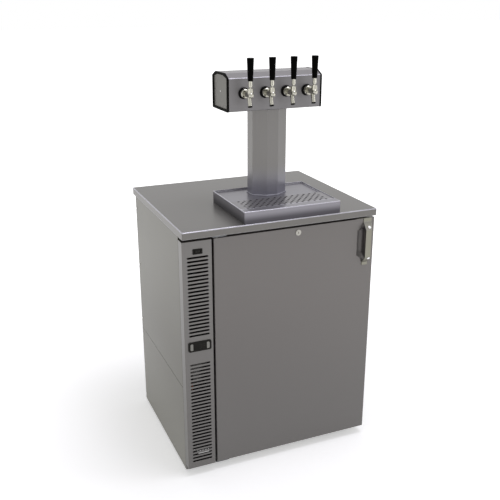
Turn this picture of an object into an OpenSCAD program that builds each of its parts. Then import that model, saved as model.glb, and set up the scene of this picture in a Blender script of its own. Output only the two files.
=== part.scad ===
// Draft beer cooler: refrigerated keg cabinet with a four tap tower on a drip tray.
// Millimetres, +Z up, front towards -Y, origin on the floor under the middle of the part.

/* [Worktop] */
// Width of the worktop and of the cabinet
top_w = 711.2; // [704:1:760]
// Depth of the worktop
top_d = 609.6; // [600:1:660]
// Height of the worktop above the floor
top_z = 914.4; // [900:1:960]
// Thickness of the worktop
top_t = 25.4; // [23:0.2:30]
// Radius of the worktop's edges
nose_r = 3; // [1.5:0.5:5]
// Width of the return flange under the worktop's edges
hem_w = 44; // [42:1:60]
// Overhang of the worktop behind the cabinet
rear_overhang = 37.7; // [25:0.5:45]

/* [Cabinet] */
// Thickness of the sheet steel
sheet = 1.2; // [1:0.1:1.6]
// Thickness of the insulated walls
wall = 45; // [42:1:50]
// Thickness of the liner and of the front frame's lip
liner_t = 1.5; // [1:0.1:2]
// Thickness of the frame that the gasket seals on
frame_t = 6; // [4:0.5:10]
// Thickness of the base plate
base_t = 2; // [1.5:0.1:3]
// Height of the base plate's upturned flanges
base_flange = 20; // [15:1:26]
// Height of the levelling feet
foot_h = 11.5; // [10:0.5:16]
// Radius of a foot's pad
foot_r = 19; // [15:0.5:22]
// Radius of a foot's stem
stem_r = 5; // [4:0.5:6]
// Distance of the feet from the cabinet's sides
foot_in = 58; // [50:1:80]

/* [Machine bay] */
// Width of the machine bay beside the insulated box
bay_w = 165; // [162:1:170]
// Width of the louvred panel
grille_w = 101.2; // [98:0.2:103]
// Thickness of the louvred panel
grille_t = 1.5; // [1.2:0.1:2]
// Set-back of the louvred panel from the worktop's front edge
grille_back = 8; // [6:0.5:12]
// Depth of the panel's return along the cabinet's left side
grille_side = 36; // [32:1:40]
// Set-back of the panel's toe from its face
toe_back = 28.8; // [25:0.2:30]
// Height of the seam between the two left side panels
seam_z = 341.5; // [300:1:400]
// Width of that seam
seam_gap = 1.5; // [1:0.1:3]
// Depth of the side panels' return flanges
flange_d = 14; // [10:1:18]
// Length of a louvre slot
slot_l = 72; // [60:1:74]
// Height of a louvre slot
slot_h = 6.7; // [5:0.1:8]
// Distance from one slot to the next
slot_pitch = 13.11; // [12.8:0.01:13.3]
// Number of slots above the controller
upper_slots = 22; // [12:1:22]
// Number of slots below the controller
lower_slots = 30; // [12:1:30]
// Height of the lowest slot above the floor
slot_low_z = 60.1; // [58:0.1:62]
// Height of the slot next above the controller
slot_mid_z = 548.5; // [547:0.1:552]
// Distance of the slots' middle from the cabinet's left side
slot_in = 52.4; // [51:0.2:54]

/* [Switch and controller] */
// Width of the rocker switch's bezel
switch_w = 33; // [30:0.5:36]
// Height of the rocker switch's bezel
switch_h = 18; // [16:0.5:20]
// How far the bezel stands off the panel
switch_proud = 2; // [1.5:0.1:3]
// Height of the switch's middle above the floor
switch_z = 844; // [842:0.5:858]
// Depth of the switch's body behind the panel
switch_deep = 24; // [20:1:30]
// Width of the rocker
rocker_w = 22; // [18:0.5:24]
// Rise of the rocker's high side
rocker_turn = 14; // [10:1:18]
// Width of the controller's bezel
control_w = 81; // [78:0.5:84]
// Height of the controller's bezel
control_h = 35; // [33:0.5:37]
// How far the controller stands off the panel
control_proud = 3; // [2:0.1:4]
// Height of the controller's middle above the floor
control_z = 508.5; // [500:0.5:511]
// Depth of the controller's body behind the panel
control_deep = 52; // [40:1:60]
// Width of a controller key
key_w = 9.5; // [8:0.5:11]
// Height of a controller key
key_h = 23.5; // [18:0.5:25]
// Distance of the keys from the controller's middle
key_out = 29; // [28:0.25:30]
// Travel of a controller key
key_travel = 0.8; // [0.6:0.1:1]

/* [Door] */
// Thickness of the door
door_t = 48; // [44:1:54]
// Set-back of the door's face from the worktop's front edge
door_back = 10.6; // [8:0.2:14]
// Gap between the door and the worktop
door_gap = 9.9; // [9:0.1:12]
// Height of the door's lower edge above the base plate
door_lift = 21; // [20:0.5:26]
// Gap between the door and the louvred panel
hinge_gap = 7.8; // [7:0.1:9]
// Radius of the door's upright edges
door_r = 3; // [2:0.5:5]
// Space between the door's back and the front frame
gasket_space = 8; // [7:0.1:9]
// Width of the gasket
gasket_w = 10; // [8:0.5:12]
// Distance of the gasket from the door's edges
gasket_in = 12; // [11:0.5:15]
// Distance of the hinge pin from the door's front and left faces
pin_in = 14; // [13:0.5:16]
// Radius of the hinge pin
pin_r = 5; // [4:0.5:6]
// Width of a hinge bracket
hinge_w = 50; // [44:1:60]
// Thickness of a hinge bracket's plate
hinge_t = 4; // [3:0.2:5]
// Thickness of a hinge bracket's flange
hinge_flange_t = 3; // [2:0.2:3.4]
// Length of a hinge bush
bush_l = 18; // [14:1:24]
// Angle to which the door opens
door_open = 110; // [90:1:110]

/* [Pull and lock] */
// Width of the pull strip
pull_w = 22; // [18:0.5:26]
// Width of the pull's upper foot
pull_foot_w = 31; // [28:0.5:34]
// Thickness of the pull strip
pull_t = 2.5; // [2:0.1:3.5]
// How far the pull stands ahead of the door
pull_proud = 22.6; // [18:0.2:28]
// Length of the pull's straight run
pull_run = 102; // [90:1:120]
// Height of the pull's upper and lower slopes
pull_slope = 24; // [20:0.5:30]
// Height of the pull's feet on the door
pull_foot = 10; // [8:0.5:14]
// Distance of the pull's right edge from the door's right side
pull_in = 23; // [19:0.5:28]
// Length of the flange that folds from the pull over the door's upper edge
pull_flange = 12; // [8:0.5:16]
// How far that flange runs past the pull's left edge
pull_tab = 28; // [20:1:32]
// Depth of the finger pocket
pocket_deep = 19; // [14:0.5:24]
// Width of the finger pocket
pocket_w = 41; // [36:0.5:46]
// Height of the finger pocket's left side
pocket_h = 92; // [80:1:100]
// How far the pocket's upper and lower ends slant outward
pocket_slant = 26; // [18:0.5:30]
// Distance of the lock's middle below the door's upper edge
lock_down = 18.6; // [16:0.2:22]
// Distance of the lock's middle from the cabinet's middle plane
lock_x = 56.9; // [40:1:80]
// Radius of the lock's face ring
lock_r = 10.2; // [9.5:0.1:11]
// Radius of the lock's turning plug
plug_r = 7; // [6:0.1:7.5]
// Length of the lock's cam from the plug's axis
cam_l = 36; // [33:0.5:37]
// Width of the lock's cam
cam_w = 10; // [8:0.5:12]
// Thickness of the lock's cam
cam_t = 2.5; // [2:0.1:3.5]

/* [Drip tray] */
// Width of the drip tray
tray_w = 353; // [340:1:370]
// Depth of the drip tray
tray_d = 292; // [285:1:300]
// Height of the drip tray
tray_h = 42.5; // [38:0.5:48]
// Set-back of the tray from the worktop's front edge
tray_back = 2; // [1:0.5:8]
// Depth of the rear deck below the tray's rim
deck_down = 6; // [4:0.5:8]
// Depth of the perforated grid
grid_d = 101; // [100:0.5:104]
// Depth of the grid's top below the tray's rim
grid_down = 2; // [1.5:0.1:3]
// Set-back of the grid from the tray's front
grid_back = 36.8; // [34:0.2:38]
// Gap round the grid
grid_gap = 1.2; // [0.8:0.1:1.6]
// Width of the notches at the grid's front corners
notch_w = 14; // [10:0.5:18]
// Depth of those notches
notch_d = 4; // [3:0.5:5]
// Height of the grid's folded edge
grid_edge = 8; // [6:0.5:10]
// Diameter of a drain hole in the grid
hole_d = 9; // [7:0.2:10]
// Distance between drain holes along a row
hole_pitch = 22.4; // [21:0.1:23]
// Distance between rows of drain holes
hole_row = 13.6; // [13:0.1:14.5]
// Number of rows
hole_rows = 7; // [3:1:7]
// Number of holes in a long row
hole_count = 14; // [7:1:14]
// Height to which the grid lifts out
grid_lift = 40; // [20:1:60]
// Radius of the tray's drain tube
drain_r = 6.35; // [5:0.05:8]
// Length of the drain tube's free end in the keg space
drain_tail = 38; // [30:1:50]

/* [Tower] */
// Distance of the tower's middle from the cabinet's middle plane
tower_x = 34; // [24:0.5:40]
// Set-back of the tower's middle from the worktop's front edge
tower_back = 224.4; // [222:0.2:228]
// Width of the eight sided column
column_w = 127; // [110:1:130]
// Depth of the eight sided column
column_d = 102; // [90:1:104]
// Width of the column's corner faces
corner_w = 43; // [36:0.5:44]
// Depth of the column's corner faces
corner_d = 27.5; // [24:0.5:29]
// Thickness of the tower's sheet steel
tower_t = 2; // [1.5:0.1:2.5]
// Radius of the bends in the tower's sheet steel
bend_r = 3; // [2.6:0.1:4]
// Margin of the column's foot
column_foot = 3; // [2:0.5:5]
// Thickness of the column's foot and collar
column_foot_t = 3; // [2:0.5:4]
// Width of the tower's head with its end caps
head_w = 345; // [335:1:380]
// Depth of the head
head_d = 138; // [130:1:144]
// Height of the head
head_h = 121.8; // [112:0.2:130]
// Height of the head's underside above the worktop
head_lift = 338.7; // [320:0.1:360]
// Height of the head's upper slopes
slope_h = 14; // [10:0.5:18]
// Depth of the head's upper slopes
slope_d = 30; // [24:0.5:34]
// Width of the rubber edging round an end cap
trim_w = 6.5; // [5:0.25:8]
// Depth of the rubber edging along the head
trim_t = 6; // [5:0.5:8]
// Thickness of an end plate
plate_t = 2; // [1.5:0.1:3]

/* [Taps] */
// Number of taps
taps = 4; // [4]
// Distance from one tap to the next
tap_pitch = 76.5; // [70:0.5:78]
// Height of the shanks above the head's underside
shank_up = 59.3; // [56:0.1:62]
// Radius of a shank
shank_r = 11; // [10:0.1:12]
// Length of a shank behind the head's face
shank_in = 40; // [34:0.5:44]
// Radius of the black flange
flange_r = 19; // [17:0.25:21]
// Thickness of the black flange
flange_t = 5; // [4:0.25:6]
// Radius of the coupling nut
nut_r = 15.4; // [14.5:0.1:16]
// Length of the coupling nut
nut_l = 15; // [13:0.25:17]
// Distance of the lever's pivot ahead of the head's face
tap_reach = 56; // [54:0.5:60]
// Height of the lever's pivot above the shank's axis
pivot_up = 18; // [17:0.25:19]
// Radius of the lever's ball
ball_r = 7; // [6.5:0.1:7]
// Radius of the faucet's barrel
barrel_r = 9; // [8.8:0.1:10]
// Radius of the faucet's spout
spout_r = 6.5; // [6:0.1:7]
// Drop of the spout's end below the shank's axis
spout_drop = 38; // [34:0.5:42]
// Angle by which a tap opens
tap_open = 28; // [20:1:28]
// Length of the tap handle
handle_l = 72; // [60:1:100]
// Width of the tap handle at its top
handle_top_w = 23; // [20:0.5:26]
// Width of the tap handle at its bottom
handle_low_w = 17; // [15:0.5:19]
// Outer diameter of a beer line
line_d = 9; // [8:0.1:9.5]
// Length of a beer line's tail below the keg space's ceiling
line_tail = 60; // [40:1:90]

/* [Cooling] */
// Radius of the compressor's shell
comp_r = 64; // [58:1:65]
// Height of the compressor's shell
comp_h = 170; // [150:1:190]
// Width of the condenser coil
cond_w = 130; // [120:1:140]
// Depth of the condenser coil
cond_d = 48; // [40:1:54]
// Height of the condenser coil
cond_h = 240; // [200:1:260]
// Radius of the condenser fan
fan_r = 52; // [45:1:56]
// Radius of the evaporator fan
evap_fan_r = 34; // [28:1:36]
// Width of the evaporator cover
evap_w = 300; // [260:1:320]
// Height of the evaporator cover
evap_h = 86; // [80:1:90]
// Depth of the evaporator cover
evap_d = 190; // [180:1:200]
// Radius of the refrigerant lines
pipe_r = 4; // [3:0.25:5]
// Length of the drier in the liquid line
drier_l = 100; // [60:1:120]
// Rows of tubes in the evaporator coil
evap_rows = 3; // [2:1:3]

/* [Hidden] */
$fn = 48;

// Colours
steel = [0.62, 0.61, 0.58];
dark_steel = [0.45, 0.45, 0.44];
bright = [0.80, 0.80, 0.78];
black = [0.06, 0.06, 0.05];
copper = [0.72, 0.45, 0.30];
white = [0.86, 0.87, 0.86];
pale_foam = [0.90, 0.84, 0.62];

// Clearances and overrun
over = 1;
run_fit = 0.05;
loose = 0.3;
near = 0.6;

// Planes of the cabinet
pull_ahead = pull_proud - door_back;
front_y = pull_ahead / 2 - top_d / 2;
rear_y = front_y + top_d;
back_y = rear_y - rear_overhang;
side_x = top_w / 2;
under_z = top_z - top_t;
floor_z = foot_h + base_t;
grille_y = front_y + grille_back;
toe_y = grille_y + toe_back;
door_y = front_y + door_back;
door_back_y = door_y + door_t;
frame_y = door_back_y + gasket_space;
bay_x = bay_w - side_x;
grille_x = grille_w - side_x;
slot_x = slot_in - side_x;

// Spans of the main volumes, as [low, high]
door_xs = [grille_x + hinge_gap, side_x];
door_zs = [foot_h + door_lift, under_z - door_gap];
door_ys = [door_y, door_back_y];
room_xs = [bay_x + wall, side_x - wall];
room_ys = [frame_y + frame_t, back_y - wall];
room_zs = [foot_h + wall, under_z - wall];
skin_ys = [frame_y + frame_t, back_y - sheet];
bay_xs = [sheet - side_x, bay_x];

// Hinge, lock and pull places
pin_x = door_xs[0] + pin_in;
pin_y = door_y + pin_in;
bush_r = pin_r + 3 * pin_r / 5;
washer_t = hinge_t * 0.3;
lock_z = door_zs[1] - lock_down;
cam_y = door_y + door_t * 0.45;
pull_x = side_x - pull_in - pull_w / 2;
pull_top_z = door_zs[1] - pull_t;
pull_bend_z = pull_top_z - pull_foot - pull_slope;
pocket_x = pull_x - pocket_w * 0.3;
pocket_z = pull_bend_z - pull_run / 2;
pocket_taper_share = 0.9;
back_row_share = 0.7;
evap_coil_share = 0.84;

// Tray and tower places
tray_y = front_y + tray_back;
tray_z = top_z + tray_h;
deck_z = tray_z - deck_down;
grid_w = tray_w - 4 * sheet - 2 * grid_gap;
grid_y = tray_y + grid_back;
grid_zs = [tray_z - grid_down - grid_edge, tray_z - grid_down];
lip_r = 3 * sheet;
tower_y = front_y + tower_back;
head_z = top_z + head_lift;
head_y = tower_y - head_d / 2;
shank_z = head_z + shank_up;
tap_y = head_y - tap_reach;
pivot_z = shank_z + pivot_up;
line_r = line_d / 2;
line_bend = line_d * 1.5;
duct_r = column_d * 0.28;
drain_x = tower_x + grid_w * 0.28;
drain_y = grid_y + grid_d * 0.55;
drain_wide_r = drain_r + sheet;
tail_zs = [room_zs[1] - drain_tail, room_zs[1] - liner_t - 2 * sheet];

// Fan places
cond_x = (bay_xs[0] + bay_xs[1]) / 2;
cond_y = frame_y + frame_t + cond_d / 2 + flange_d;
cond_z = floor_z + base_flange + cond_h / 2;
shroud_t = fan_r * 0.6;
shroud_y = cond_y + cond_d / 2;
evap_x = (room_xs[0] + room_xs[1]) / 2;
evap_y = room_ys[1] - liner_t;
evap_z = room_zs[1] - liner_t;
evap_fan_y = evap_y - evap_d + evap_fan_r * 0.5;

function around(middle, width) = [middle - width / 2, middle + width / 2];
function grow(span, margin) = [span[0] - margin, span[1] + margin];
function middle(span) = (span[0] + span[1]) / 2;
function size(span) = span[1] - span[0];
function tap_x(i) = tower_x + (i - (taps - 1) / 2) * tap_pitch;

// Box between three spans
module block(xs, ys, zs) {
    translate([xs[0], ys[0], zs[0]])
        cube([size(xs), size(ys), size(zs)]);
}

// Outline in X and Z, solid along Y
module plate_xz(ys) {
    translate([0, ys[1], 0])
        rotate([90, 0, 0])
            linear_extrude(size(ys)) children();
}

// Outline in Y and Z, solid along X
module plate_yz(xs) {
    translate([xs[0], 0, 0])
        rotate([90, 0, 90])
            linear_extrude(size(xs)) children();
}

// Outline in X and Y, solid along Z
module plate_xy(zs) {
    translate([0, 0, zs[0]])
        linear_extrude(size(zs)) children();
}

// Round bars along each axis
module rod_x(r, xs) {
    translate([xs[0], 0, 0])
        rotate([0, 90, 0])
            cylinder(r = r, h = size(xs));
}

module rod_y(r, ys) {
    translate([0, ys[1], 0])
        rotate([90, 0, 0])
            cylinder(r = r, h = size(ys));
}

module rod_z(r, zs) {
    translate([0, 0, zs[0]])
        cylinder(r = r, h = size(zs));
}

// Turned shape about an axis along Y, drawn as [radius, distance ahead of y]
module turned_y(y) {
    translate([0, y, 0])
        rotate([90, 0, 0])
            rotate_extrude() children();
}

// Rectangle with round corners about its middle
module round_rect(w, h, r) {
    square([w - 2 * r, h], center = true);
    square([w, h - 2 * r], center = true);
    for (sx = [-1, 1], sy = [-1, 1])
        translate([sx * (w / 2 - r), sy * (h / 2 - r)]) circle(r);
}

// Rectangle between two spans, with round corners
module round_span(us, vs, r) {
    translate([middle(us), middle(vs)])
        round_rect(size(us), size(vs), r);
}

// Slot with round ends about its middle
module slot(w, h) {
    square([w - h, h], center = true);
    for (s = [-1, 1])
        translate([s * (w - h) / 2, 0]) circle(h / 2);
}

// Bar between two points
module bar(a, b, r) {
    d = b - a;
    translate(a)
        rotate([0, acos(d[2] / norm(d)), atan2(d[1], d[0])])
            cylinder(r = r, h = norm(d));
}

// Quarter bend between two directions at right angles, about the corner of their lines
module elbow(corner, start, finish, bend, r) {
    out = -finish;
    axis = cross(start, finish);
    centre = corner + bend * (finish - start);
    upright = abs(out[2]) > 0.5;
    translate(centre)
        rotate([upright ? atan2(-out[2] * start[0], start[1]) : atan2(start[2], axis[2]),
            -asin(out[2]), upright ? 0 : atan2(out[1], out[0])])
            rotate_extrude(angle = 90)
                translate([bend, 0]) circle(r);
}

// Tube along points whose turns are square, with round bends
module pipe(points, bend, r) {
    last = len(points) - 1;
    ways = [for (i = [1 : last]) (points[i] - points[i - 1]) / norm(points[i] - points[i - 1])];
    for (i = [1 : last])
        bar(points[i - 1] + (i > 1 ? bend : 0) * ways[i - 1],
            points[i] - (i < last ? bend : 0) * ways[i - 1], r);
    for (i = [1 : 1 : last - 1])
        elbow(points[i], ways[i - 1], ways[i], bend, r);
}

// Sheet panel on the cabinet's left side, with returned edges
module side_pan(ys, zs) {
    outer_xs = [-side_x, flange_d - side_x];
    difference() {
        block(outer_xs, ys, zs);
        block([sheet - side_x, flange_d - side_x + over], grow(ys, -sheet), grow(zs, -sheet));
    }
}

module base_pan() {
    plate_xs = [flange_d + loose - side_x, side_x - sheet];
    wall_zs = [foot_h, floor_z + base_flange];
    color(dark_steel)
    difference() {
        union() {
            block(plate_xs, skin_ys, [foot_h, floor_z]);
            block([plate_xs[0], grille_x - grille_t - loose], [toe_y + grille_t + loose, skin_ys[0]],
                [foot_h, floor_z]);
            block([plate_xs[0], plate_xs[0] + base_t], [toe_y + grille_t + loose, skin_ys[1]],
                wall_zs);
            block([plate_xs[0], bay_x - loose], [skin_ys[1] - base_t, skin_ys[1]], wall_zs);
            foot_places() rod_z(stem_r * 2, [foot_h, floor_z + base_flange]);
        }
        foot_places() rod_z(stem_r + run_fit, [foot_h - over, floor_z + base_flange + over]);
        for (i = [0 : 5])
            translate([cond_x, cond_y + i * slot_pitch, 0])
                plate_xy([foot_h - over, floor_z + over]) slot(slot_l, slot_h);
    }
}

module foot_places() {
    for (x = [foot_in - side_x, side_x - foot_in],
         y = [frame_y + foot_in * 0.8, back_y - foot_in])
        translate([x, y, 0]) children();
}

module levelling_feet() {
    pad_h = foot_h * 0.35;
    color(dark_steel)
    foot_places() {
        rod_z(foot_r, [0, pad_h]);
        translate([0, 0, pad_h])
            cylinder(r = stem_r * 1.8, h = foot_h - pad_h, $fn = 6);
        rod_z(stem_r, [pad_h, floor_z + base_flange]);
    }
}

side_ys = [grille_y + grille_side + seam_gap, back_y];

module left_upper_panel() {
    color(steel) side_pan(side_ys, [seam_z + seam_gap / 2, under_z]);
}

module left_lower_panel() {
    color(steel) side_pan(side_ys, [foot_h, seam_z - seam_gap / 2]);
}

// Rear sheet with bay vents and a way through for the power inlet
module rear_panel() {
    vent_x = middle(bay_xs);
    color(steel)
    difference() {
        block([flange_d - side_x, side_x - sheet], [back_y - sheet, back_y], [floor_z, under_z]);
        for (i = [0 : 13])
            translate([vent_x, 0, floor_z + base_flange + (i + 1) * slot_pitch])
                plate_xz([back_y - sheet - over, back_y + over]) slot(slot_l, slot_h);
        for (i = [0 : 9])
            translate([vent_x, 0, under_z - (i + 2) * slot_pitch])
                plate_xz([back_y - sheet - over, back_y + over]) slot(slot_l, slot_h);
        plate_xz([back_y - sheet - over, back_y + over]) inlet_outline(loose);
    }
}

// Outer sheet of the insulated box: right side, roof and bay wall
module cabinet_wrapper() {
    color(steel)
    difference() {
        block([bay_x, side_x], skin_ys, [floor_z, under_z]);
        block([bay_x + sheet, side_x - sheet], grow(skin_ys, over), [floor_z - over, under_z - sheet]);
        service_holes(loose);
    }
    color(steel)
        block([side_x - sheet, side_x], skin_ys, [foot_h, floor_z]);
}

// Ways through the roof for the beer lines and drain, and through the bay wall for the pipes
module service_holes(gap) {
    roof_zs = [room_zs[1] - over - liner_t, tray_z];
    translate([tower_x, tower_y, 0]) rod_z(duct_r + gap, roof_zs);
    translate([drain_x, drain_y, 0]) rod_z(drain_wide_r + gap, roof_zs);
    wall_xs = [bay_x - over, room_xs[0] + liner_t + over];
    for (p = evap_ports)
        translate([0, p[0], p[1]]) rod_x(pipe_r + gap, wall_xs);
}

module cabinet_foam() {
    color(pale_foam)
    difference() {
        block([bay_x + sheet, side_x - sheet], skin_ys, [floor_z, under_z - sheet]);
        block(room_xs, [room_ys[0] - over, room_ys[1]], room_zs);
        service_holes(loose);
        foot_places() rod_z(stem_r * 2, [floor_z - over, floor_z + base_flange]);
    }
}

module cabinet_liner() {
    color(white)
    difference() {
        block(room_xs, room_ys, room_zs);
        block(grow(room_xs, -liner_t), [room_ys[0] - over, room_ys[1] - liner_t],
            grow(room_zs, -liner_t));
        service_holes(loose);
    }
}

// Frame round the opening, with the mullion in front of the bay
module front_frame() {
    color(dark_steel)
    difference() {
        block([grille_x, side_x], [frame_y, frame_y + frame_t], [foot_h, under_z]);
        plate_xz([frame_y - over, frame_y + frame_t + over])
            round_span(grow(room_xs, -liner_t), grow(room_zs, -liner_t), door_r * 3);
    }
}

// Louvred panel, flush with the door, wrapped round the corner to the side, on a recessed toe
module grille_panel() {
    xs = [-side_x, grille_x];
    toe_zs = [foot_h + near, door_zs[0] + grille_t];
    face_ys = [grille_y, grille_y + grille_t];
    color(steel)
    difference() {
        union() {
            intersection() {
                plate_xy(door_zs)
                    round_span(xs, [grille_y, frame_y + frame_t + door_r], nose_r / 2);
                union() {
                    block([xs[0], xs[0] + grille_t], [grille_y, grille_y + grille_side], door_zs);
                    block([xs[1] - grille_t, xs[1]], [grille_y, frame_y + frame_t], door_zs);
                    block(xs, face_ys, door_zs);
                    block(xs, [grille_y, toe_y + grille_t], [door_zs[0], door_zs[0] + grille_t]);
                    block(xs, [grille_y, grille_y + flange_d], [door_zs[1] - grille_t, door_zs[1]]);
                }
            }
            block(xs, [toe_y, toe_y + grille_t], toe_zs);
            block([xs[0], xs[0] + grille_t], [toe_y, grille_y + grille_side], toe_zs);
            block([xs[1] - grille_t, xs[1]], [toe_y, frame_y + frame_t], toe_zs);
        }
        plate_xz(grow(face_ys, over)) {
            for (i = [0 : lower_slots - 1])
                translate([slot_x, slot_low_z + i * slot_pitch]) slot(slot_l, slot_h);
            for (i = [0 : upper_slots - 1])
                translate([slot_x, slot_mid_z + i * slot_pitch]) slot(slot_l, slot_h);
            translate([slot_x, switch_z])
                square([switch_w - switch_proud * 2, switch_h - switch_proud * 2], center = true);
            translate([slot_x, control_z])
                square([control_w - control_proud * 3, control_h - control_proud * 2], center = true);
        }
    }
}

rocker_y = grille_y + switch_proud * 2;
rocker_r = rocker_w / 2 - loose;

module switch_bezel() {
    body_w = switch_w - switch_proud * 2;
    body_h = switch_h - switch_proud * 2;
    well = switch_deep * 0.5;
    color(black)
    translate([slot_x, 0, switch_z])
    difference() {
        union() {
            plate_xz([grille_y - switch_proud, grille_y])
                round_rect(switch_w, switch_h, switch_proud);
            plate_xz([grille_y, grille_y + switch_deep])
                square([body_w, body_h], center = true);
            for (s = [-1, 1])
                translate([s * body_w / 4, 0, 0])
                    block(around(0, cam_w / 2), [grille_y, grille_y + switch_deep * 1.35],
                        around(0, sheet));
        }
        plate_xz([grille_y - switch_proud - over, grille_y + well])
            square([rocker_w, body_h - switch_proud], center = true);
    }
}

// Rocker that tips about an upright axis; its high side is on the left at rest
module switch_rocker() {
    body_h = switch_h - switch_proud * 3 - 2 * loose;
    valley = switch_proud * 2.6;
    color(black)
    translate([slot_x, rocker_y, switch_z])
        rotate([0, 0, rocker_turn / 2])
            intersection() {
                rod_z(rocker_r, around(0, body_h));
                plate_xy(around(0, body_h))
                    polygon([[-rocker_w, -valley - rocker_w * tan(rocker_turn / 2)], [0, -valley],
                        [rocker_w, -valley - rocker_w * tan(rocker_turn / 2)],
                        [rocker_w * 0.2, rocker_w * 0.3], [-rocker_w * 0.2, rocker_w * 0.3]]);
            }
}

// Half round key outline, flat towards the display
module key_outline(side, gap) {
    intersection() {
        round_rect(key_w + 2 * gap, key_h + 2 * gap, key_w * 0.15);
        translate([-side * key_w * 0.75, 0])
            circle(r = key_h * 0.62 + gap);
    }
}

module controller_case() {
    body_w = control_w - control_proud * 3.2;
    body_h = control_h - control_proud * 2.2;
    color(black)
    translate([slot_x, 0, control_z])
    difference() {
        union() {
            plate_xz([grille_y - control_proud, grille_y])
                round_rect(control_w, control_h, control_proud * 2);
            plate_xz([grille_y, grille_y + control_deep])
                square([body_w, body_h], center = true);
        }
        for (side = [-1, 1])
            translate([side * key_out, 0, 0])
                plate_xz([grille_y - control_proud - over, grille_y + control_proud])
                    key_outline(side, loose);
        plate_xz([grille_y - control_proud - over, grille_y - control_proud * 0.8])
            round_rect(key_out * 1.4, control_h * 0.7, control_proud);
    }
}

module control_key(side) {
    color(white)
    translate([slot_x + side * key_out, 0, control_z])
        plate_xz([grille_y - control_proud - key_travel, grille_y + control_proud - key_travel - loose])
            key_outline(side, 0);
}

module left_key() { control_key(-1); }
module right_key() { control_key(1); }

// Worktop: folded sheet with round edges and a hem underneath
module countertop() {
    xs = [-side_x, side_x];
    ys = [front_y, rear_y];
    zs = [under_z, top_z];
    color(steel)
    difference() {
        intersection() {
            plate_xy(zs) round_span(xs, ys, nose_r);
            plate_yz(grow(xs, over)) edge_profile(ys, zs, nose_r);
            plate_xz(grow(ys, over)) edge_profile(xs, zs, nose_r);
        }
        block(grow(xs, -sheet), grow(ys, -sheet), grow(zs, -sheet));
        block(grow(xs, -hem_w), grow(ys, -hem_w), [under_z - over, top_z - sheet]);
        plate_xy([under_z - over, under_z + sheet + over])
            translate([lock_x - cam_l / 2 + cam_w, cam_y + cam_t / 2])
                square([cam_l + cam_w, cam_t * 2.4], center = true);
        translate([tower_x, tower_y, 0]) rod_z(duct_r + loose, [under_z, top_z + over]);
        translate([drain_x, drain_y, 0]) rod_z(drain_wide_r + loose, [under_z, top_z + over]);
    }
}

// Section with round upper corners
module edge_profile(us, vs, r) {
    translate([us[0], vs[0]]) square([size(us), size(vs) - r]);
    translate([us[0] + r, vs[0]]) square([size(us) - 2 * r, size(vs)]);
    for (u = [us[0] + r, us[1] - r])
        translate([u, vs[1] - r]) circle(r);
}

// Finger pocket: a slanted prism, deepest in the middle of its height
module finger_pocket(grow_by, start_y) {
    low = pocket_h / 2;
    high = low + pocket_slant;
    plate_xs = around(pocket_x, pocket_w);
    intersection() {
        plate_xz([start_y, door_y + pocket_deep + grow_by])
            polygon([[plate_xs[0] - grow_by, pocket_z - low - grow_by],
                [plate_xs[0] - grow_by, pocket_z + low + grow_by],
                [plate_xs[1] + grow_by, pocket_z + high + grow_by],
                [plate_xs[1] + grow_by, pocket_z - high - grow_by]]);
        plate_yz(grow(plate_xs, grow_by + over))
            polygon([[start_y, pocket_z - high - grow_by], [start_y, pocket_z + high + grow_by],
                [door_y, pocket_z + high + grow_by],
                [door_y + pocket_deep + grow_by, pocket_z + low * pocket_taper_share + grow_by],
                [door_y + pocket_deep + grow_by, pocket_z - low * pocket_taper_share - grow_by],
                [door_y, pocket_z - high - grow_by]]);
    }
}

module lock_cavity(gap) {
    sweep = cam_l + gap;
    block([lock_x - sweep, lock_x + cam_w], grow([cam_y, cam_y + cam_t], gap),
        [lock_z - cam_w, door_zs[1] + over]);
}

module door_skin() {
    lip = gasket_in + gasket_w;
    color(steel)
    difference() {
        union() {
            difference() {
                plate_xy(door_zs) round_span(door_xs, door_ys, door_r);
                block(grow(door_xs, -sheet), grow(door_ys, -sheet), grow(door_zs, -sheet));
                block(grow(door_xs, -lip), [door_back_y - sheet - over, door_back_y + over],
                    grow(door_zs, -lip));
            }
            finger_pocket(sheet, door_y);
        }
        finger_pocket(0, door_y - over);
        translate([lock_x, 0, lock_z])
            rod_y(lock_r - sheet, [door_y - over, door_y + sheet + over]);
        lock_cavity(loose);
        bush_places(loose / 3);
    }
}

module bush_places(gap) {
    translate([pin_x, pin_y, 0]) {
        rod_z(bush_r + gap, [door_zs[0] - over, door_zs[0] + bush_l]);
        rod_z(bush_r + gap, [door_zs[1] - bush_l, door_zs[1] + over]);
    }
}

module door_foam() {
    color(pale_foam)
    difference() {
        block(grow(door_xs, -sheet), grow(door_ys, -sheet), grow(door_zs, -sheet));
        finger_pocket(sheet, door_y - over);
        translate([lock_x, 0, lock_z])
            rod_y(lock_r - sheet, [door_y - over, cam_y + cam_t + loose]);
        lock_cavity(loose);
        bush_places(loose / 3);
    }
}

// Door's inner pan with a raised middle
module door_liner() {
    rise_xs = grow(room_xs, -gasket_in - liner_t);
    rise_zs = grow(room_zs, -gasket_in - liner_t);
    color(white) {
        plate_xz([door_back_y, door_back_y + liner_t])
            round_span(grow(door_xs, -door_r), grow(door_zs, -door_r), door_r);
        plate_xz([door_back_y + liner_t, frame_y + frame_t])
            round_span(rise_xs, rise_zs, door_r * 3);
    }
}

// Magnetic gasket: a bulb on a narrow base
module door_gasket() {
    outer_xs = grow(door_xs, -gasket_in);
    outer_zs = grow(door_zs, -gasket_in);
    base_ys = [door_back_y + liner_t, frame_y - loose - gasket_space * 0.3];
    color(black) {
        gasket_ring(grow(outer_xs, -gasket_w * 0.2), grow(outer_zs, -gasket_w * 0.2), base_ys,
            gasket_w * 0.6);
        gasket_ring(outer_xs, outer_zs, [base_ys[1], frame_y - loose], gasket_w);
    }
}

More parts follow.
